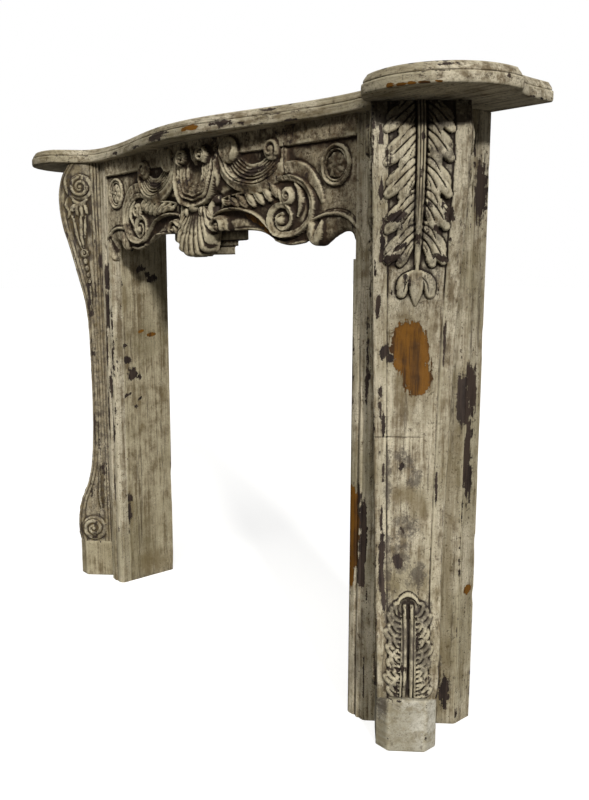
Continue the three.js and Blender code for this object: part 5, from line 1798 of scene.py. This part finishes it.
@dataclass
class Studio:
    """The floor, the lights and the camera."""

    camera_at: tuple[float, float, float] = (1.4439, -1.0484, 0.8223)
    yaw: float = 0.8536
    pitch: float = 0.1584
    roll: float = 0.0021
    focal_pixels: float = 825.34
    picture_height: int = 800
    key_from: tuple[float, float, float] = (2.65, -1.3, 1.25)
    key_strength: float = 2.2
    key_spread: float = 5.0
    front_from: tuple[float, float, float] = (0.7, -1.5, 1.75)
    front_strength: float = 1.25
    front_spread: float = 45.0
    back_from: tuple[float, float, float] = (-1.4, 2.0, 0.9)
    back_strength: float = 0.4
    back_spread: float = 60.0
    fill_strength: float = 0.13

    def build(self) -> None:
        """Sets up the whole studio."""
        self.build_camera()
        self.build_floor()
        self.build_lights()

    def build_camera(self) -> None:
        """Puts the camera where the photograph was taken from."""
        data = bpy.data.cameras.new("photo_camera")
        data.sensor_width = 36.0
        data.sensor_fit = "AUTO"
        data.lens = self.focal_pixels * data.sensor_width / self.picture_height
        data.clip_start = 0.05
        camera = bpy.data.objects.new("photo_camera", data)
        turn = Matrix.Rotation(self.yaw, 4, "Z") @ Matrix.Rotation(math.pi / 2 - self.pitch, 4, "X")
        turn = turn @ Matrix.Rotation(self.roll, 4, "Z")
        camera.matrix_world = Matrix.Translation(self.camera_at) @ turn
        bpy.context.scene.collection.objects.link(camera)
        bpy.context.scene.camera = camera

    def build_floor(self) -> None:
        """Lays a wide pale floor, which looks brighter than the light that it throws back."""
        mesh = bpy.data.meshes.new("studio_floor")
        size = 30.0
        corners = [(-size, -size, 0), (size, -size, 0), (size, size, 0), (-size, size, 0)]
        mesh.from_pydata(corners, [], [(0, 1, 2, 3)])
        floor = bpy.data.objects.new("studio_floor", mesh)
        bpy.context.scene.collection.objects.link(floor)
        material = bpy.data.materials.new("pale_floor")
        material.use_nodes = True
        sheet = NodeSheet(material.node_tree)
        material.node_tree.nodes.clear()
        seen = sheet.add("BsdfPrincipled", {
            "Base Color": (0.62, 0.62, 0.61, 1), "Roughness": 1.0, "Specular IOR Level": 0.0,
            "Emission Color": (1, 1, 1, 1), "Emission Strength": 0.72,
        })
        felt = sheet.add("BsdfDiffuse", {"Color": (0.16, 0.155, 0.145, 1)})
        ray = sheet.add("LightPath").outputs["Is Camera Ray"]
        both = sheet.add("MixShader", {0: ray, 1: felt.outputs[0], 2: seen.outputs[0]})
        sheet.add("OutputMaterial", {"Surface": both.outputs[0]})
        mesh.materials.append(material)

    def add_light(
        self, name: str, origin: tuple[float, float, float], strength: float, spread: float,
    ) -> None:
        """Adds a distant light.

        Args:
            name: the light's name.
            origin: the direction that it comes from.
            strength: how bright it is.
            spread: the angle that it fills, in degrees: wider is softer.
        """
        data = bpy.data.lights.new(name, "SUN")
        data.energy = strength
        data.angle = math.radians(spread)
        data.color = (1.0, 0.985, 0.955)
        light = bpy.data.objects.new(name, data)
        light.rotation_euler = Vector(origin).to_track_quat("Z", "Y").to_euler()
        bpy.context.scene.collection.objects.link(light)

    def build_lights(self) -> None:
        """Adds the key light, the soft ones from the front and the back, and the white surroundings."""
        self.add_light("key_light", self.key_from, self.key_strength, self.key_spread)
        self.add_light("front_light", self.front_from, self.front_strength, self.front_spread)
        self.add_light("back_light", self.back_from, self.back_strength, self.back_spread)
        world = bpy.data.worlds.new("studio_white")
        bpy.context.scene.world = world
        world.use_nodes = True
        sheet = NodeSheet(world.node_tree)
        world.node_tree.nodes.clear()
        up = sheet.add("SeparateXYZ", {"Vector": sheet.add("TexCoord").outputs["Generated"]}).outputs["Z"]
        glow = sheet.math("MULTIPLY", sheet.step(up, 0.05, 0.6), self.fill_strength)
        soft = sheet.add("Background", {"Color": (1, 1, 1, 1), "Strength": sheet.math("ADD", glow, 0.03)})
        seen = sheet.add("Background", {"Color": (1, 1, 1, 1), "Strength": 1.0})
        ray = sheet.add("LightPath").outputs["Is Camera Ray"]
        both = sheet.add("MixShader", {0: ray, 1: soft.outputs[0], 2: seen.outputs[0]})
        sheet.add("OutputWorld", {"Surface": both.outputs[0]})


def main() -> None:
    """Builds the studio and every piece of the mantelpiece."""
    logging.basicConfig(level=logging.INFO, format="%(message)s")
    Studio().build()
    bpy.context.scene.view_settings.view_transform = "Standard"
    groups = {
        "paint": aged_paint_group(), "glaze": glaze_group(), "stain": stain_group(),
        "loss": loss_group(),
    }
    carved = PaintFinish(
        "carved_paint", Grain.CARVED, light=srgb(196, 184, 156), shade=srgb(90, 75, 54),
        tint=srgb(116, 101, 72), glaze=srgb(48, 36, 25), stain=srgb(82, 64, 46), grime=0.85, fleck=0.9,
        glazing=1.15,
    ).material(groups)
    console = PaintFinish("console_paint", Grain.UPRIGHT, fleck=0.5).material(groups)
    boards = PaintFinish("board_paint", Grain.UPRIGHT, fleck=0.6).material(groups)
    # Darker and more yellowed than the board paint: the darkening is partly painted shade.
    inside = PaintFinish(
        "reveal_paint_and_shade", Grain.UPRIGHT, light=srgb(186, 175, 146), shade=srgb(112, 98, 72), fleck=0.3,
    ).material(groups)
    shelf = PaintFinish("shelf_paint", Grain.ALONG, fleck=0.6).material(groups)
    plinths = PaintFinish(
        "plinth_paint", Grain.ALONG, light=srgb(217, 213, 199), shade=srgb(160, 152, 133), grime=0.4,
        fleck=0.3,
    ).material(groups)
    Frieze().build(carved)
    Shelf().build(shelf)
    for side, name in ((1, "right"), (-1, "left")):
        Console(side).build(f"{name}_console", console)
    # The reveals get the darker reveal paint, and so does the left plinth block, which is painted darker
    # than the right one.
    for side, name in ((-1, "left"), (1, "right")):
        Leg(side, name).build(boards, inside, plinths if side > 0 else inside)


if __name__ == "__main__":
    main()
